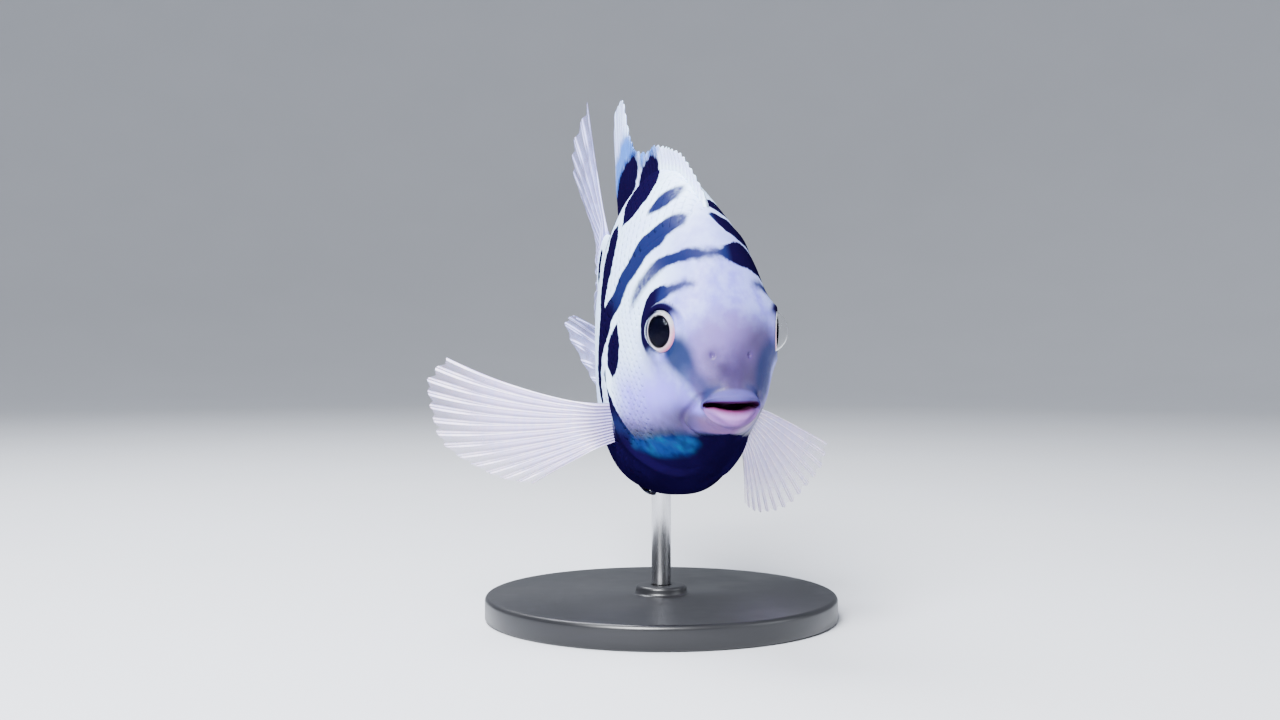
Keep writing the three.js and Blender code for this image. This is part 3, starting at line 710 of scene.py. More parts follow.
UPPER_LIP = colour(0.06, 0.052, 0.2)
LOWER_LIP = colour(0.24, 0.105, 0.33)
WINE = colour(0.1, 0.02, 0.07)
MAROON = colour(0.03, 0.002, 0.035)
FOLD_PURPLE = colour(0.045, 0.025, 0.11)
SILVER = colour(0.78, 0.78, 0.84)
SILVER_LIGHT = colour(0.9, 0.9, 0.95)
IRIS_PINK = colour(0.8, 0.2, 0.42)
IRIS_SHADOW_BLUE = colour(0.25, 0.3, 0.6)
PUPIL_EDGE = colour(0.25, 0.18, 0.2)
PUPIL_BLACK = colour(0.001, 0.001, 0.004)


def skin_material(name, on_scales):
    n = Nodes(name)
    # The ground colours of the body and the face. The crown's and the low tints are partly the face's own
    # colours and partly painted shade, which makes the forehead and the lower face darker than the lit
    # flank.
    grain = n.noise(0.9, 3)
    patchy = n.ramp(n.noise(2.2, 3), 0.3, 0.7, 0.8, 1.0)
    n.body = n.mix(n.ramp(n.noise(6, 3), 0.4, 0.8, 0.0, 0.5), PEARL, ICE_BLUE)
    if on_scales:
        n.lay(n.times(n.field("shade"), 0.2), ICE_BLUE)
    for area, tint in (("crown", BROW), ("cheek", LAVENDER), ("low", VIOLET), ("jaw", JAW_PINK)):
        n.lay(n.times(n.field(area), patchy), tint)
    snout, lips = n.times(n.field("snout"), patchy), n.field("lips")
    n.lay(n.ramp(snout, 0.05, 0.5), LILAC_GREY)
    n.lay(n.ramp(snout, 0.5, 1.0), SNOUT_DARK)
    # The darker places: painted shade on the far side's snout, and small darker patches elsewhere on the
    # face
    n.lay(n.field("dusk_and_shade"), DUSK_AND_SHADE)
    # The blue streaks under the eyes; the left one is partly painted shade along the far side's contour
    n.lay(n.field("streak"), STREAK_BLUE)
    lip = n.mix(n.field("upper"), LOWER_LIP, UPPER_LIP)
    n.lay(n.times(lips, n.ramp(grain, 0.2, 0.8, 0.75, 1.0)), lip)
    # Painted shade in the creases of the jaw's and lips' folds
    n.lay(n.times(n.field("fold"), 0.5), FOLD_PURPLE)
    # Painted shade round the nostril pits
    n.lay(n.times(n.field("pits"), 0.8), FOLD_PURPLE)
    # The marks: steel blue where weak, then ink blue, and navy black at full strength
    strength = n.field("strength")
    ragged = n.times(n.plus(n.noise(1.1, 4, 0.6), -0.5), 0.8)
    soft = n.ramp(strength, 0.3, 0.95, 1.0, 0.14)
    mask = n.ramp(n.plus(n.field("mark"), ragged), n.times(soft, -1.0), soft)
    blotch = n.ramp(n.noise(0.8, 2), 0.3, 0.7, n.ramp(strength, 0.1, 0.65, 0.45, 1.0), 1.0)
    ink = n.mix(n.ramp(strength, 0.4, 0.78), STEEL_BLUE, INK_BLUE)
    ink = n.mix(n.ramp(strength, 0.75, 0.95), ink, NAVY)
    n.lay(n.times(mask, blotch), ink)
    n.lay(n.field("ring"), NAVY)
    # The dark belly with its teal patch, whose brighter spots are painted sheen, the gum, and painted shade
    # inside the mouth and under the upper lip
    depth = n.plus(n.field("belly"), ragged)
    dark = n.ramp(depth, -0.2, 1.4)
    n.lay(n.ramp(depth, -1.6, 0.5), INK_BLUE)
    n.lay(dark, n.mix(n.ramp(n.noise(7, 2), 0.35, 0.65), NAVY, BELLY_BLUE))
    # Teal, with brighter spots painted on as highlights of its sheen
    teal_with_painted_sheen = n.mix(n.ramp(n.noise(3.2, 2), 0.4, 0.75), TEAL, TEAL_SHEEN_HIGHLIGHT)
    n.lay(n.times(n.field("teal"), n.ramp(n.noise(2.5, 2), 0.3, 0.6, 0.5, 1.0)), teal_with_painted_sheen)
    n.lay(n.field("gum"), WINE)
    # Painted shade inside the mouth and under the upper lip
    n.lay(n.field("mouth"), MAROON)
    dull = n.most(mask, dark, n.field("ring"), n.times(lips, 0.6))
    return n.set(
        Roughness=n.plus(n.ramp(grain, 0.2, 0.8, 0.34, 0.48), n.times(lips, 0.2)),
        Specular_IOR_Level=n.ramp(dull, 0.1, 0.9, 0.22, 0.0),
        Subsurface_Weight=0.06,
        Subsurface_Scale=0.0008,
        Normal=n.bump(n.plus(n.times(n.noise(0.35, 2), 0.5), n.noise(1.6, 2)), 0.35, 0.12),
    )


def fin_material(name, web, ray, base_tint, streaks, clear):
    """A translucent web with paler rays. clear is the web's opacity between the rays."""
    n = Nodes(name, web)
    rays, root = n.field("ray"), n.field("root")
    streak = n.noise(0.7, 3, stretch=(1, 0.35, 0.35))
    n.lay(n.ramp(rays, 0.15, 0.85), ray)
    n.lay(n.times(n.ramp(streak, 0.35, 0.7), 0.3), streaks)
    n.lay(n.times(root, 0.8), base_tint)
    n.lay(n.field("tip"), PEARL)
    uneven = n.times(n.plus(streak, -0.5), 1.4)
    glow = n.ramp(n.plus(n.field("glow"), n.times(uneven, 3.0)), -1.6, 2.2)
    n.lay(n.times(glow, 0.95), CYAN)
    depth = n.plus(n.field("mark"), uneven)
    n.lay(n.times(glow, n.ramp(depth, -1.3, 0.0)), ROYAL_BLUE)
    mask = n.ramp(depth, -0.3, 0.4)
    n.lay(mask, NAVY)
    thin = n.plus(n.times(n.field("thin"), -0.45), clear)
    return n.set(
        Roughness=n.ramp(streak, 0.3, 0.7, 0.32, 0.5),
        Alpha=n.most(n.ramp(rays, 0.1, 0.8, thin, 0.95), mask, root),
        Specular_IOR_Level=n.ramp(mask, 0.1, 0.9, 0.3, 0.0),
        Subsurface_Weight=0.06,
        Subsurface_Scale=0.0006,
        Normal=n.bump(n.noise(0.4, 2), 0.25, 0.06),
    )


# Skin: one surface from inside the mouth to the tail

AROUND = 420
MOUTH_ROWS = np.concatenate([np.linspace(-0.09, -0.06, 16), np.linspace(-0.058, 0.064, 92)])
FACE_ROWS = 150
EDGE_ROWS = np.array([-0.5, -0.3, -0.15, -0.05, 0.05, 0.12, 0.19, 0.26, 0.36, 0.5, 0.7])  # mm from the edge
TORSO_ROWS = 190
TAIL_END = {"reach": 2.6, "rows": 8, "width": 0.1}  # the skin tapers this far over the tail fin's root


def make_skin():
    angle = np.linspace(0, 2 * math.pi, AROUND, endpoint=False)
    turn = np.minimum(angle, 2 * math.pi - angle)
    edge = gill_edge(turn)
    face = MOUTH_ROWS[-1]
    rows = [np.full(AROUND, u) for u in MOUTH_ROWS]
    first, last = edge + EDGE_ROWS[0] / LENGTH, edge + EDGE_ROWS[-1] / LENGTH
    rows += [lerp(face, first, k / FACE_ROWS) for k in range(1, FACE_ROWS)]
    rows += [edge + offset / LENGTH for offset in EDGE_ROWS]
    rows += [lerp(last, 1.0, k / TORSO_ROWS) for k in range(1, TORSO_ROWS + 1)]
    u = np.array(rows)
    points = skin(u, angle)
    tail = points[-1]
    taper = np.linspace(0, 1, TAIL_END["rows"] + 1)[1:, None]
    narrow = lerp(TAIL_END["width"], 1, np.sqrt(1 - taper**2))
    shift = np.broadcast_arrays(tail[:, 0] * (narrow - 1), TAIL_END["reach"] * taper, 0)
    points = np.concatenate([points, tail + np.stack(shift, -1)])
    u = np.concatenate([u, np.ones((TAIL_END["rows"], AROUND))])
    angle = np.broadcast_to(angle, u.shape)
    fields = {}
    for key, values in tints(points, u, angle).items():
        fields[key] = np.append(values, [values.flat[0], values.flat[-1]])
    ends = [points[0].mean(0), points[-1].mean(0)]
    flat = np.concatenate([points.reshape(-1, 3), ends])
    return mesh_object("fish_skin", to_frame(flat), capped_faces(len(points), AROUND, True), fields)


finish_piece(make_skin(), skin_material("fish_skin", False), ["head", "torso", "tail_stem"])


# Scales: thin overlapping plates in rows along each side

SCALE = {"pitch": 2.1, "row": 1.2, "half": 1.42, "length": 2.75, "thick": 0.05, "sunk": 0.05}
SCALE_RISE = 0.13  # of its free end above its root
SCALE_CROWN = 0.03
SCALE_ROOT = 0.4  # share of its length that lies ahead of its place
TAIL_SCALE = 0.62  # the size of the tail stem's scales against the flank's
FARTHEST_ROW = 45  # more than the way from the widest line to the back or the belly
SCALE_ALONG = np.array([0.0, 0.32, 0.6, 0.82, 0.95, 1.0])
SCALE_ACROSS = np.array([-1.0, -0.6, -0.2, 0.2, 0.6, 1.0])
FACE_SCALE = 0.72  # the size of the cheek's and gill cover's scales against the flank's
MIDLINE_GAP = 0.8  # no scale sits nearer to the middle plane
BARE_STRIP = 0.031  # how far behind the gill cover the first scales sit
FLANK = {"nape_turn": 0.5, "nape_front": 0.175, "front": 0.2, "rear": 0.985}  # turns are radians
CHEEK = {"top": 0.9, "bottom": 2.3, "front": 0.13, "rim": 0.035}
BAKE_PATCH = 0.003  # the size of a scale's patch on the bake's map


def arc_angle(u, distance):
    """The angle at which a ring is this far round from its widest line, towards the back."""
    angles = np.linspace(0, math.pi, 361)
    lengths = np.concatenate([[0], np.cumsum(length_of(np.diff(form(u, angles), axis=0)))])
    lengths -= np.interp(math.pi / 2, angles, lengths)
    if not lengths[0] < -distance < lengths[-1]:
        return None
    return float(np.interp(-distance, lengths, angles))


def on_flank(u, turn):
    if turn < FLANK["nape_turn"]:
        return FLANK["nape_front"] < u < FLANK["rear"]
    return gill_edge(turn) + BARE_STRIP < u < FLANK["rear"] and u > FLANK["front"]


def on_gill_cover(u, turn):
    return CHEEK["top"] < turn < CHEEK["bottom"] and CHEEK["front"] < u < gill_edge(turn) - CHEEK["rim"]


def flank_presence(u, turn):
    """0 where a scale stays hidden in the skin and 1 where it stands at its full height."""
    return np.maximum(step(turn, 0.35, 0.4), step(u, 0.17, 0.14)) * step(2.75 - turn, 0, 0.4)


def cheek_presence(u, turn):
    """The same for the cheek and the gill cover, where the skin round the eye stays bare."""
    off_eye = length_of(form(u, turn) - eye_centre(LEFT) - 1.2 * eye_axis(LEFT))
    return step(turn, 0.95, 0.4) * step(u, 0.13, 0.07) * step(off_eye, 4.6, 2.4) * step(2.35 - turn, 0, 0.3)


def scale_places(region, size, share_range):
    """The roots of a region's scales: rows along the side, each set half a scale on from the last."""
    places = []
    rows = int(FARTHEST_ROW / (SCALE["row"] * size))
    pitch = SCALE["pitch"] * size / LENGTH
    for j in range(-rows, rows + 1):
        u = share_range[0] + (j % 2) * pitch / 2
        while u < share_range[1]:
            turn = arc_angle(u, j * SCALE["row"] * size)
            if turn is not None and region(u, turn) and abs(form(u, turn)[0]) > MIDLINE_GAP:
                places.append((u, turn))
            u += pitch
    return places


def make_scales(name, region, presence, size, share_range, side, rng):
    """Each scale is a grid of points, p along it and q across it, with a front and a back."""
    places = np.array(scale_places(region, size, share_range))[..., None, None]
    u0, turn = places[:, 0], places[:, 1]
    a0 = side * turn
    round_metric = length_of(form(u0, a0 + SMALL) - form(u0, a0 - SMALL)) / (2 * SMALL)
    grow = size * lerp(1, TAIL_SCALE, step(u0, 0.72, 0.28)) * rng.uniform(0.95, 1.05, u0.shape)
    shade = rng.uniform(0, 1, u0.shape)
    p, q = np.meshgrid(SCALE_ALONG, SCALE_ACROSS, indexing="ij")
    outline = np.sqrt(1 - ((p - 0.45) / 0.56) ** 2)
    u = u0 + (p - SCALE_ROOT) * SCALE["length"] * grow / LENGTH
    angle = a0 + q * outline * SCALE["half"] * grow / round_metric
    surface, normals = skin(u, angle), outward(u, angle)
    rise = SCALE_RISE * p**0.9 + SCALE_CROWN * (1 - q**2) * p
    lift = (rise * presence(u0, turn) - SCALE["sunk"]) * grow
    points = np.stack([surface + normals * (lift - down)[..., None] for down in (0, SCALE["thick"])], 1)
    fields = {**tints(surface, u, angle), "shade": np.broadcast_to(shade, u.shape)}
    fields = {key: np.stack([v, v], 1) for key, v in fields.items()}
    faces = sheet_faces(*p.shape)[:, ::-side]  # a left scale mirrors a right one
    faces = (faces + 2 * p.size * np.arange(len(places))[:, None, None]).reshape(-1, 4)
    made = mesh_object(name, to_frame(points), faces, fields)
    across = 0.02 + 0.8 * (u0 + 0.1) + BAKE_PATCH * (p - 0.5)
    upward = 0.5 + 0.48 * a0 / math.pi + BAKE_PATCH * 0.5 * q
    uv = np.stack([across, upward], -1)
    uv = np.stack([uv, uv], 1).reshape(-1, 2)
    layer = made.data.uv_layers.new(name="OFBake")
    corners = np.empty(len(made.data.loops), np.int32)
    made.data.loops.foreach_get("vertex_index", corners)
    layer.data.foreach_set("uv", uv[corners].astype(np.float32).ravel())
    return made


def make_coat():
    rng = np.random.default_rng(11)
    material = skin_material("fish_scales", True)
    regions = {
        "flank": (on_flank, flank_presence, 1.0, (0.14, 0.99)),
        "cheek": (on_gill_cover, cheek_presence, FACE_SCALE, (0.12, 0.34)),
    }
    for word, side in SIDES.items():
        for kind, region in regions.items():
            coat = make_scales(f"{kind}_scales_{word}", *region, side, rng)
            finish_piece(coat, material)


make_coat()


# Fins: thin webs with raised rays that branch towards their tips

WEB = 0.05  # half thickness of the web between the rays
WEB_RAGGED = 0.012  # how unevenly the web ends, as a share of the rays' length
RAY_RIDGE = 0.13
RAY_WIDTH = 0.15
PLEAT = 0.1  # how far the web folds between the rays
COLUMNS_PER_RAY = 12
SINK = 0.8  # how far the dorsal and the anal fin start inside the body
ROOT_DEPTH = 0.5  # how far a paired fin's root lies inside the body
SPINE_NOTCH = 0.14  # how far the web is cut back between the spines, as a share of their length
NO_SPINES = -1

# The fins, from their first ray to their last. Their lengths are thousandths of the standard length. Lean,
# rise and sweep are degrees. From and to are shares of the body. Sag, trail and droop are shares of a ray.
DORSAL = {
    "from": 0.268,
    "to": 0.9,
    "rays": 34,
    "rows": 56,
    "notch": 0.03,
    "root_fade": 0.3,
    "crowd": curve([0, 0.68, 0.86, 1], [0, 0.52, 0.72, 1]),
    "spines": 0.7,
    "flesh": 0.3,
    "length": curve(
        [0, 0.12, 0.4, 0.62, 0.76, 0.85, 0.92, 0.96, 1], [28, 45, 56, 72, 115, 190, 315, 325, 200]
    ),
    "lean": curve([0, 0.4, 0.7, 0.9, 1], [48, 50, 58, 66, 46]),
    "sag": (0.06, -0.03),
    "tilt": 1.5,
    "ripple": 0.35,
    "waves": 5.17,
}
ANAL = {
    "from": 0.625,
    "to": 0.868,
    "rays": 15,
    "rows": 50,
    "notch": 0.03,
    "root_fade": 0.3,
    "spines": 0.5,
    "flesh": 0.3,
    "length": curve([0, 0.3, 0.5, 0.64, 0.78, 0.9, 1], [40, 65, 100, 180, 262, 200, 110]),
    "lean": curve([0, 0.5, 0.75, 1], [40, 14, -6, -18]),
    "sag": (0.02, 0.05),
    "curl": -5.8,
    "ripple": 0.25,
    "waves": 1.6,
}
CAUDAL = {
    "rays": 16,
    "rows": 84,
    "notch": 0.025,
    "root_fade": 0.12,
    "sunk": 0.02,
    "degrees": (-34, 50),
    "root": (0.07, 0.93),
    "length": curve([0, 0.25, 0.5, 0.75, 1], [380, 364, 360, 375, 430]),
    "swing": curve([0, 0.4, 0.57, 0.74, 0.88, 1], [5.2, 5.4, 3.6, -1.6, -1.8, -0.4]),
    "bow": 0.1,
    "ripple": 0.3,
    "waves": 1.9,
    "fleshy": 0.24,  # share of the rays' length that the tail stem's flesh covers
}
PAIRED = {"notch": 0.03, "root_fade": 0.2, "sunk": 0.01}
PECTORAL = {
    **PAIRED,
    "rays": 14,
    "rows": 76,
    "root": [{"u": 0.355, "height": -0.085}, {"u": 0.362, "height": -0.168}],
    "length": curve([0, 0.2, 0.45, 0.75, 1], [345, 395, 390, 300, 195]),
    "standoff": 0.75,
    "bulge": 0.5,
    "flesh": 0.4,
}
PECTORALS = {
    "right": {**PECTORAL, "rise": (2, -34), "sweep": (22, 34), "trail": 0.1, "droop": (0.18, -0.08)},
    "left": {**PECTORAL, "rise": (-24, -58), "sweep": (30, 56), "trail": 0.08, "droop": (-0.03, -0.1)},
}
PELVIC = {
    **PAIRED,
    "rays": 6,
    "rows": 40,
    "root": [{"u": 0.335, "across": 3.7}, {"u": 0.36, "across": 2.7}],
    "length": curve([0, 0.3, 1], [235, 225, 130]),
    "standoff": 0.45,
    "bulge": 0.3,
    "flesh": 0.1,
    "rise": (-7, -10),
    "sweep": (88, 91),
    "trail": 0.02,
    "droop": (0.24, 0.17),
}
PELVICS = {"right": PELVIC, "left": PELVIC}


def ray_length(fin, f):
    """In millimetres."""
    return fin["length"](f) * LENGTH / 1000


def in_plane(y, z):
    y, z = np.broadcast_arrays(y, z)
    return np.stack([np.zeros_like(y), y, z], -1)


def ray_points(root, reach, sag, sway, v):
    """Points along the rays, which sag and sway more and more towards their tips."""
    points = root + reach * v[..., None] + sag * (v**2)[..., None]
    points[..., 0] += sway * np.maximum(v, 0) ** 1.7
    return points


def median_points(fin, edge, up, sway, f, v):
    """A fin that stands on the body's top edge, with up 1, or hangs from its bottom edge, with up -1."""
    length = ray_length(fin, f)
    lean = np.radians(fin["lean"](f))
    u = lerp(fin["from"], fin["to"], f)
    root = in_plane(along["s"](u), along[edge](u) + up * GAP)
    reach = in_plane(np.cos(lean) * length, up * np.sin(lean) * length)
    return ray_points(root, reach, in_plane(fin["sag"][0] * length, fin["sag"][1] * length), sway, v)


def dorsal_points(f, v):
    wave = DORSAL["ripple"] * np.sin(DORSAL["waves"] * 2 * math.pi * f) * step(f, 0.1, 0.6)
    return median_points(DORSAL, "top", 1, wave + DORSAL["tilt"] * step(f, 0.8, 0.15), f, v)


def anal_points(f, v):
    wave = ANAL["ripple"] * np.sin(ANAL["waves"] * f * (ANAL["rays"] - 1))
    return median_points(ANAL, "bottom", -1, ANAL["curl"] * step(f, 0.2, 0.6) + wave, f, v)


def caudal_points(f, v):
    length = ray_length(CAUDAL, f)
    height = lerp(along["bottom"](1.0), along["top"](1.0), lerp(*CAUDAL["root"], f))
    root = in_plane(LENGTH + GAP, height)
    angle = np.radians(lerp(*CAUDAL["degrees"], f))
    bow = CAUDAL["bow"] * length * (2 * f - 1)
    reach = in_plane(np.cos(angle) * length, np.sin(angle) * length - bow)
    sway = CAUDAL["swing"](f) + CAUDAL["ripple"] * np.sin(CAUDAL["waves"] * f * (CAUDAL["rays"] - 1))
    return ray_points(root, reach, in_plane(-np.abs(bow) / 2, bow), sway, v)


def paired_points(fin, side):
    """The points of a fin that comes in a pair, from a root given by heights or by widths on the belly."""
    ends = []
    for end in fin["root"]:
        if "across" in end:
            ends.append(angle_across(end["u"], side * end["across"], True))
        else:
            ends.append(angle_at_height(end["u"], end["height"] * LENGTH, side))

    def points(f, v):
        length = ray_length(fin, f)
        u, angle = lerp(fin["root"][0]["u"], fin["root"][1]["u"], f), lerp(*ends, f)
        rise, sweep = np.radians(lerp(*fin["rise"], f)), np.radians(lerp(*fin["sweep"], f))
        level = np.cos(rise) * length
        reach = np.stack([side * level * np.cos(sweep), level * np.sin(sweep), np.sin(rise) * length], -1)
        sag = in_plane(fin["trail"] * length, lerp(*fin["droop"], f) * length)
        off_body = lerp(-ROOT_DEPTH, fin["standoff"], step(v, -0.01, 0.08)) + fin["bulge"] * step(v, 0, 0.25)
        return ray_points(form(u, angle), reach, sag, 0, v) + outward(u, angle) * off_body[..., None]

    return points


def ray_profile(t, v, spacing, branching):
    """How much of a ray is at a place: 1 on its crest. t is counted in rays from the nearest ray."""
    width = RAY_WIDTH * (1 - 0.4 * v) / np.maximum(spacing, 0.2)
    fork = branching * 0.13 * step(v, 0.38, 0.4)
    twig = branching * 0.06 * step(v, 0.68, 0.3)
    centres = [fork + twig, fork - twig, -fork + twig, -fork - twig]
    return np.max([bell(t - centre, width) for centre in centres], axis=0)


def median_flesh(fin, f, v):
    return fin["flesh"] * (1 - step(v * ray_length(fin, f), -0.5, 2.2))


def stem_flesh(fin, f, v):
    swell = np.sqrt(np.clip(1 - (2 * f - 1) ** 2, 0, 1))
    return np.maximum(0, along["half"](1.0) * 0.9 * swell - WEB) * (1 - step(v, 0, fin["fleshy"]))


def paired_flesh(fin, f, v):
    return fin["flesh"] * (1 - step(v, 0.02, 0.16))


def make_fin(name, look, points_at, flesh, fin, rng, marked=False):
    """A fin's web and rays. f runs along its root, from 0 to 1, and v from the root, 0, to the tips, 1.
    Flesh is the half thickness that its root has beyond the web's."""
    rays = fin["rays"]
    columns = (rays - 1) * COLUMNS_PER_RAY + 1
    f = np.linspace(0, 1, columns)[None]
    place = (rays - 1) * (fin["crowd"](f) if "crowd" in fin else f)
    t = place - np.round(place)
    ragged = np.interp(place[0], np.arange(0, rays, 0.25), rng.uniform(0, WEB_RAGGED, rays * 4))[None]
    soft = step(f, fin.get("spines", NO_SPINES) - 0.03, 0.06)
    reach = 1 - lerp(SPINE_NOTCH, fin["notch"], soft) * (2 * np.abs(t)) ** 1.3 - ragged
    share = (np.linspace(0, 1, fin["rows"])[:, None]) ** 0.9
    v = lerp(-fin["sunk"] if "sunk" in fin else -SINK / ray_length(fin, f), reach, share)
    f, t, soft, _ = np.broadcast_arrays(f, t, soft, v)
    middle = points_at(f, v)
    across = np.gradient(middle, axis=1)
    normal = unit(np.cross(across, np.gradient(middle, axis=0)))
    spacing = length_of(across) / np.gradient(place[0])
    ray = ray_profile(t, v, spacing, soft)
    half = WEB + RAY_RIDGE * ray * (1 - 0.5 * v) + flesh(fin, f, v)
    half = half * (1 - 0.45 * step(share, 0.97, 0.03))
    pleat = PLEAT * np.cos(2 * math.pi * t) * step(v, 0.05, 0.3) * np.minimum(1, spacing)
    middle = middle + normal * pleat[..., None]
    points = np.stack([middle + normal * half[..., None], middle - normal * half[..., None]])
    fields = {
        "ray": ray,
        "mark": inside_strokes(middle, FIN_STROKES if marked else [])[0],
        "glow": inside_strokes(middle, GLOW_STROKES if marked else [])[0],
        "root": 1 - step(v, 0.0, fin["root_fade"]),
        "tip": step(v, 0.8, 0.2) * (1 - soft),
        "thin": step(v, 0.45, 0.5) * soft,
    }
    fields = {key: np.stack([value, value]) for key, value in fields.items()}
    made = mesh_object(name.format("web"), to_frame(points), sheet_faces(*v.shape), fields)
    finish_piece(made, look, [name.format("fin")])


def make_fins():
    rng = np.random.default_rng(5)
    looks = [
        ("dorsal_web", colour(0.5, 0.58, 0.92), PEARL, PEARL, ICE_BLUE, 0.92),
        ("tail_web", colour(0.22, 0.22, 0.45), colour(0.5, 0.5, 0.78), BROW, ICE_BLUE, 0.7),
        ("pectoral_web", colour(0.7, 0.6, 0.9), colour(0.95, 0.86, 1.0), VIOLET, ICE_BLUE, 0.56),
        ("pelvic_web", NAVY, INK_BLUE, NAVY, INK_BLUE, 0.95),
    ]
    dorsal_look, tail_look, pale_look, dark_look = [fin_material(*look) for look in looks]

    make_fin("dorsal_{}", dorsal_look, dorsal_points, median_flesh, DORSAL, rng, True)
    make_fin("anal_{}", tail_look, anal_points, median_flesh, ANAL, rng)
    make_fin("caudal_{}", tail_look, caudal_points, stem_flesh, CAUDAL, rng)
    for kind, look, fins in (("pectoral", pale_look, PECTORALS), ("pelvic", dark_look, PELVICS)):
        for word, side in SIDES.items():
            points_at = paired_points(fins[word], side)
            make_fin(f"{kind}_{{}}_{word}", look, points_at, paired_flesh, fins[word], rng)


make_fins()


# Eyes: a silver iris and a bulging black pupil under a clear cornea

IRIS = {"outer": 3.1, "outer_height": 1.25, "inner": 2.45, "inner_height": 1.72}
PUPIL_TOP = 1.92
BALL_SHARE = 0.97  # the ball behind the iris is this much of the eye's size
CORNEA_THICKNESS = 0.12
PINK_SIDE = np.array([0, -1, -0.5])  # the iris is pinkest on this side
EYE_SEGMENTS = 96


def eye_profile():
    """The ball's back, the iris, the rim of the pupil and the pupil, as rows of radius and height."""
    radius, height = IRIS["inner"], IRIS["inner_height"]
    back = arc(EYE["radius"] * BALL_SHARE, 180, 68, 14)
    slope = np.linspace(0, 1, 10)
    across = lerp(IRIS["outer"], radius, slope)
    iris = list(zip(across, lerp(IRIS["outer_height"], height, np.sin(slope * math.pi / 2))))
    rim = [(radius - 0.06, height - 0.02), (radius - 0.1, height - 0.16)]
    low = height - 0.1
    bulge = (PUPIL_TOP - low) / (radius - 0.14)
    lens = [(x, low + z * bulge) for x, z in arc(radius - 0.14, 90, 0, 12)]
    return back + iris + rim + lens


def cap(radius, from_offset):
    return arc(radius, math.degrees(math.asin(from_offset / radius)), 0, 16)


def eyeball_material():
    n = Nodes("eyeball")
    off, edge, outer = n.field("off"), IRIS["inner"], IRIS["outer"]
    fibres = n.noise(0.35, 3)
    n.body = n.mix(n.ramp(fibres, 0.3, 0.7), SILVER, SILVER_LIGHT)
    n.lay(n.times(n.field("front"), n.ramp(off, edge, outer, 0.45, 1.0)), IRIS_PINK)
    # The iris's rear is painted grey-blue as the shadow of the skin's rim
    n.lay(n.times(n.field("rear"), n.ramp(off, edge, outer, 0.2, 0.8)), IRIS_SHADOW_BLUE)
    n.lay(n.ramp(off, edge + 0.1, edge), PUPIL_EDGE)
    n.lay(n.ramp(off, edge - 0.02, edge - 0.08), PUPIL_BLACK)
    return n.set(
        Roughness=0.5,
        Specular_IOR_Level=n.ramp(off, edge - 0.1, edge, 0.0, 0.4),
        Normal=n.bump(fibres, 0.2, 0.05),
    )


def cornea_material():
    n = Nodes("cornea", colour(1, 1, 1))
    return n.set(Roughness=0.0, IOR=1.08, Specular_IOR_Level=0.35, Transmission_Weight=1.0)


def make_eyes():
    ball_look, clear_look = eyeball_material(), cornea_material()
    outer = cap(EYE["radius"], IRIS["outer"] + 0.1)
    inner = cap(EYE["radius"] - CORNEA_THICKNESS, IRIS["outer"] + 0.02)
    for word, side in SIDES.items():
        centre, axis = eye_centre(side), eye_axis(side)
        points, faces = lathe(eye_profile(), EYE_SEGMENTS, centre, axis)
        height, across, off = from_eye(points, side)
        facing = (across @ unit(PINK_SIDE)) / np.maximum(off, 1e-6)
        fields = {
            "off": np.where(height > 1.0, off, IRIS["outer"] + 0.2),
            "front": step(facing, 0.2, 0.7),
            # rear is where the iris gets its painted shadow
            "rear": step(-facing, 0.3, 0.7),
        }
        ball = mesh_object(f"eyeball_{word}", to_frame(points), faces, fields)
        finish_piece(ball, ball_look, [f"eye_{word}"])
        shell, faces = lathe(inner[::-1] + outer, EYE_SEGMENTS, centre, axis)  # both ends on the axis
        dome = mesh_object(f"cornea_{word}", to_frame(shell), faces)
        finish_piece(dome, clear_look)


make_eyes()


# Stand: a turned black base with a raised boss, and a steel rod

BASE = {"radius": 29.0, "bevel": 0.8, "foot": 0.4, "segments": 160}
BOSS = {"radius": 4.2, "height": 1.4, "bevel": 0.5}
ROD = {"radius": 1.6, "chamfer": 0.1, "segments": 48, "sunk": 0.3, "into_belly": 0.5}


def rounded(x, z, radius):
    """The rounded upper corner of a turned form, outside x and above z."""
    return [(x + across, z + up) for across, up in arc(radius, 90, 0, 7)]


def stand_object(name, profile, segments, material, node):
    """A turned piece of the stand, made in the frame's own axes."""
    points, faces = lathe(profile, segments, np.zeros(3), np.array([0.0, 0, 1]))
    made = mesh_object(name, points * MM, faces)
    made.modifiers.new("edges", "EDGE_SPLIT").split_angle = math.radians(50)
    finish_piece(made, material, [node])


def black_material():
    n = Nodes("stand_black")
    broad = n.noise(14, 3)
    n.body = n.mix(broad, colour(0.005, 0.005, 0.006), colour(0.011, 0.011, 0.013))
    return n.set(Roughness=n.ramp(broad, 0.3, 0.7, 0.3, 0.42), Normal=n.bump(n.noise(0.25, 2), 0.15, 0.03))


def steel_material():
    n = Nodes("stand_steel")
    brushed = n.noise(0.12, 3, stretch=(1, 1, 0.03))
    n.body = n.mix(brushed, colour(0.55, 0.55, 0.57), colour(0.62, 0.62, 0.64))
    rough = n.ramp(brushed, 0.3, 0.7, 0.24, 0.3)
    return n.set(Metallic=1.0, Roughness=rough, Normal=n.bump(brushed, 0.05, 0.01))


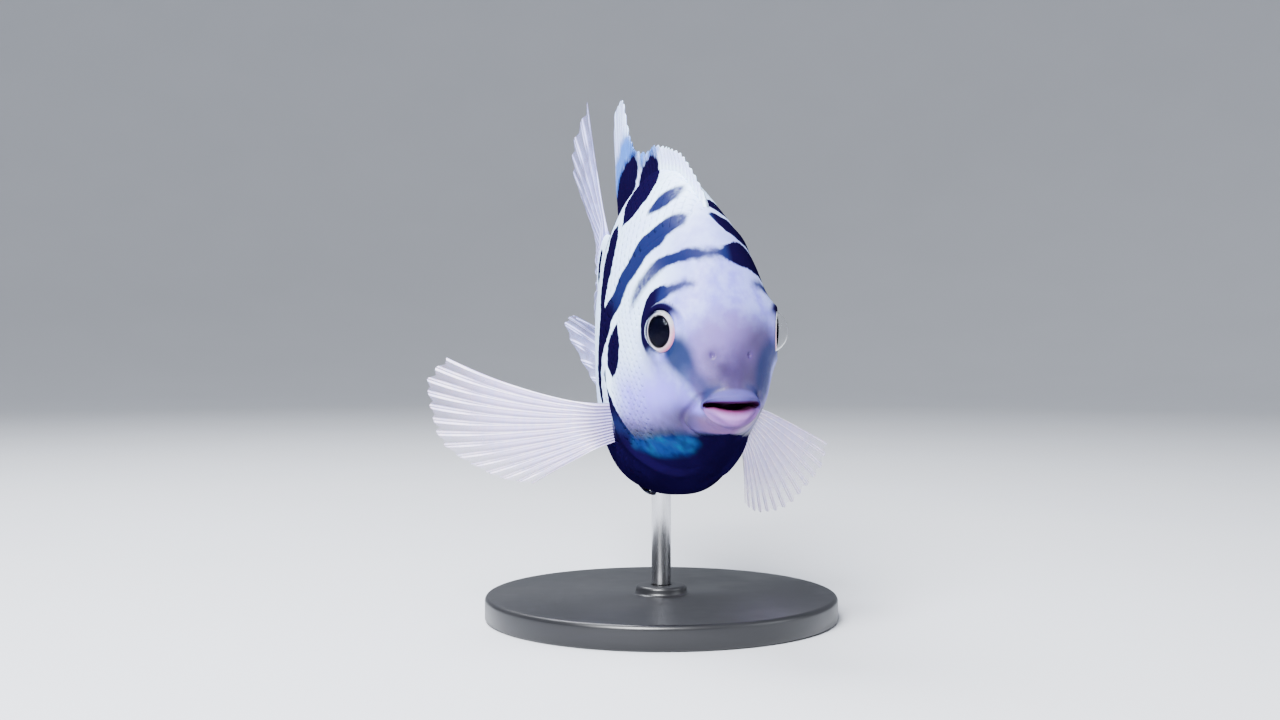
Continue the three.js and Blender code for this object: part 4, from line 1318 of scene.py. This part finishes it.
def make_stand():
    """The base's profile goes up round its edge, over the boss and down into the rod's socket."""
    top, base, foot = BASE_THICKNESS, BASE["radius"], BASE["foot"]
    boss, shoulder = BOSS["radius"], BASE_THICKNESS + BOSS["height"]
    radius, low = ROD["radius"], shoulder - ROD["sunk"]
    profile = [(0, 0), (base - foot, 0), (base, foot)]
    profile += rounded(base - BASE["bevel"], top - BASE["bevel"], BASE["bevel"])
    profile += [(boss + 0.5, top), (boss + 0.15, top + 0.12), (boss, top + 0.45)]
    profile += rounded(boss - BOSS["bevel"], shoulder - BOSS["bevel"], BOSS["bevel"])
    profile += [(radius + 0.15, shoulder), (radius + 0.05, low), (0, low)]
    stand_object("stand_base_turned", profile, BASE["segments"], black_material(), "stand_base")
    head, chamfer = BASE_THICKNESS + BELLY_CLEARANCE + ROD["into_belly"], ROD["chamfer"]
    rod = [(0, low), (radius - chamfer, low), (radius, low + chamfer), (radius, head), (0, head)]
    stand_object("stand_rod_polished", rod, ROD["segments"], steel_material(), "stand_rod")


make_stand()


# Floor, lights and camera

CAMERA = {"distance": 230, "azimuth": -20, "elevation": 3, "yaw": -16.6, "pitch": 1.29, "lens": 45}
FLOOR = {"flat": 0.7, "rise": 0.7, "segments": 96}  # metres
LIGHT_AIM = (0, 0, 0.045)


def heading(azimuth, elevation):
    """A unit vector this many degrees round from the fish's front, and this many up."""
    around, up = math.radians(azimuth), math.radians(elevation)
    return Vector((math.sin(around) * math.cos(up), -math.cos(around) * math.cos(up), math.sin(up)))


def make_camera():
    """Looks past the mouth, which is where the body's axes start."""
    away = heading(CAMERA["azimuth"], CAMERA["elevation"])
    back, right = heading(CAMERA["yaw"], CAMERA["pitch"]), heading(CAMERA["yaw"] + 90, 0)
    data = bpy.data.cameras.new("camera")
    data.lens = CAMERA["lens"]
    data.clip_start = 0.01
    camera = bpy.data.objects.new("camera", data)
    turn = Matrix((right, back.cross(right), back)).transposed().to_4x4()
    place = (Vector(PLACE) + away * CAMERA["distance"]) * MM
    camera.matrix_world = Matrix.Translation(place) @ turn
    bpy.context.scene.collection.objects.link(camera)
    bpy.context.scene.camera = camera


def make_floor():
    """A pale floor that curves up all round into a low wall."""
    n = Nodes("floor")
    n.body = n.mix(n.noise(60, 2), colour(0.5, 0.51, 0.54), colour(0.53, 0.54, 0.57))
    flat, rise = FLOOR["flat"], FLOOR["rise"]
    profile = [(0, 0), (flat / 3, 0), (flat * 2 / 3, 0)]
    profile += [(flat + across, rise - up) for across, up in arc(rise, 0, 90, 16)]
    around = [2 * math.pi * i / FLOOR["segments"] for i in range(FLOOR["segments"])]
    points = [(r * math.cos(a), r * math.sin(a), z) for r, z in profile for a in around]
    floor = mesh_object("floor", points, grid_faces(len(profile), len(around), True))
    floor.data.materials.append(n.set(Roughness=0.8))


def add_light(name, place, size, watts, tint):
    """A round soft light at a place in metres, aimed at the fish's middle."""
    data = bpy.data.lights.new(name, "AREA")
    data.shape = "DISK"
    data.size = size
    data.energy = watts
    data.color = tint
    lamp = bpy.data.objects.new(name, data)
    lamp.location = place
    lamp.rotation_euler = (Vector(LIGHT_AIM) - Vector(place)).to_track_quat("-Z", "Y").to_euler()
    bpy.context.scene.collection.objects.link(lamp)


def make_studio():
    world = bpy.data.worlds.new("studio")
    world.use_nodes = True
    background = world.node_tree.nodes["Background"].inputs
    background["Color"].default_value = colour(0.8, 0.87, 1.0)
    background["Strength"].default_value = 0.4
    bpy.context.scene.world = world
    add_light("key", (-0.24, -0.32, 0.38), 0.28, 15, (0.95, 0.97, 1))
    add_light("fill", (0.4, -0.25, 0.2), 0.3, 1.0, (0.9, 0.94, 1))
    add_light("top", (-0.1, 0.2, 0.45), 0.3, 5, (0.92, 0.95, 1))


make_camera()
make_floor()
make_studio()
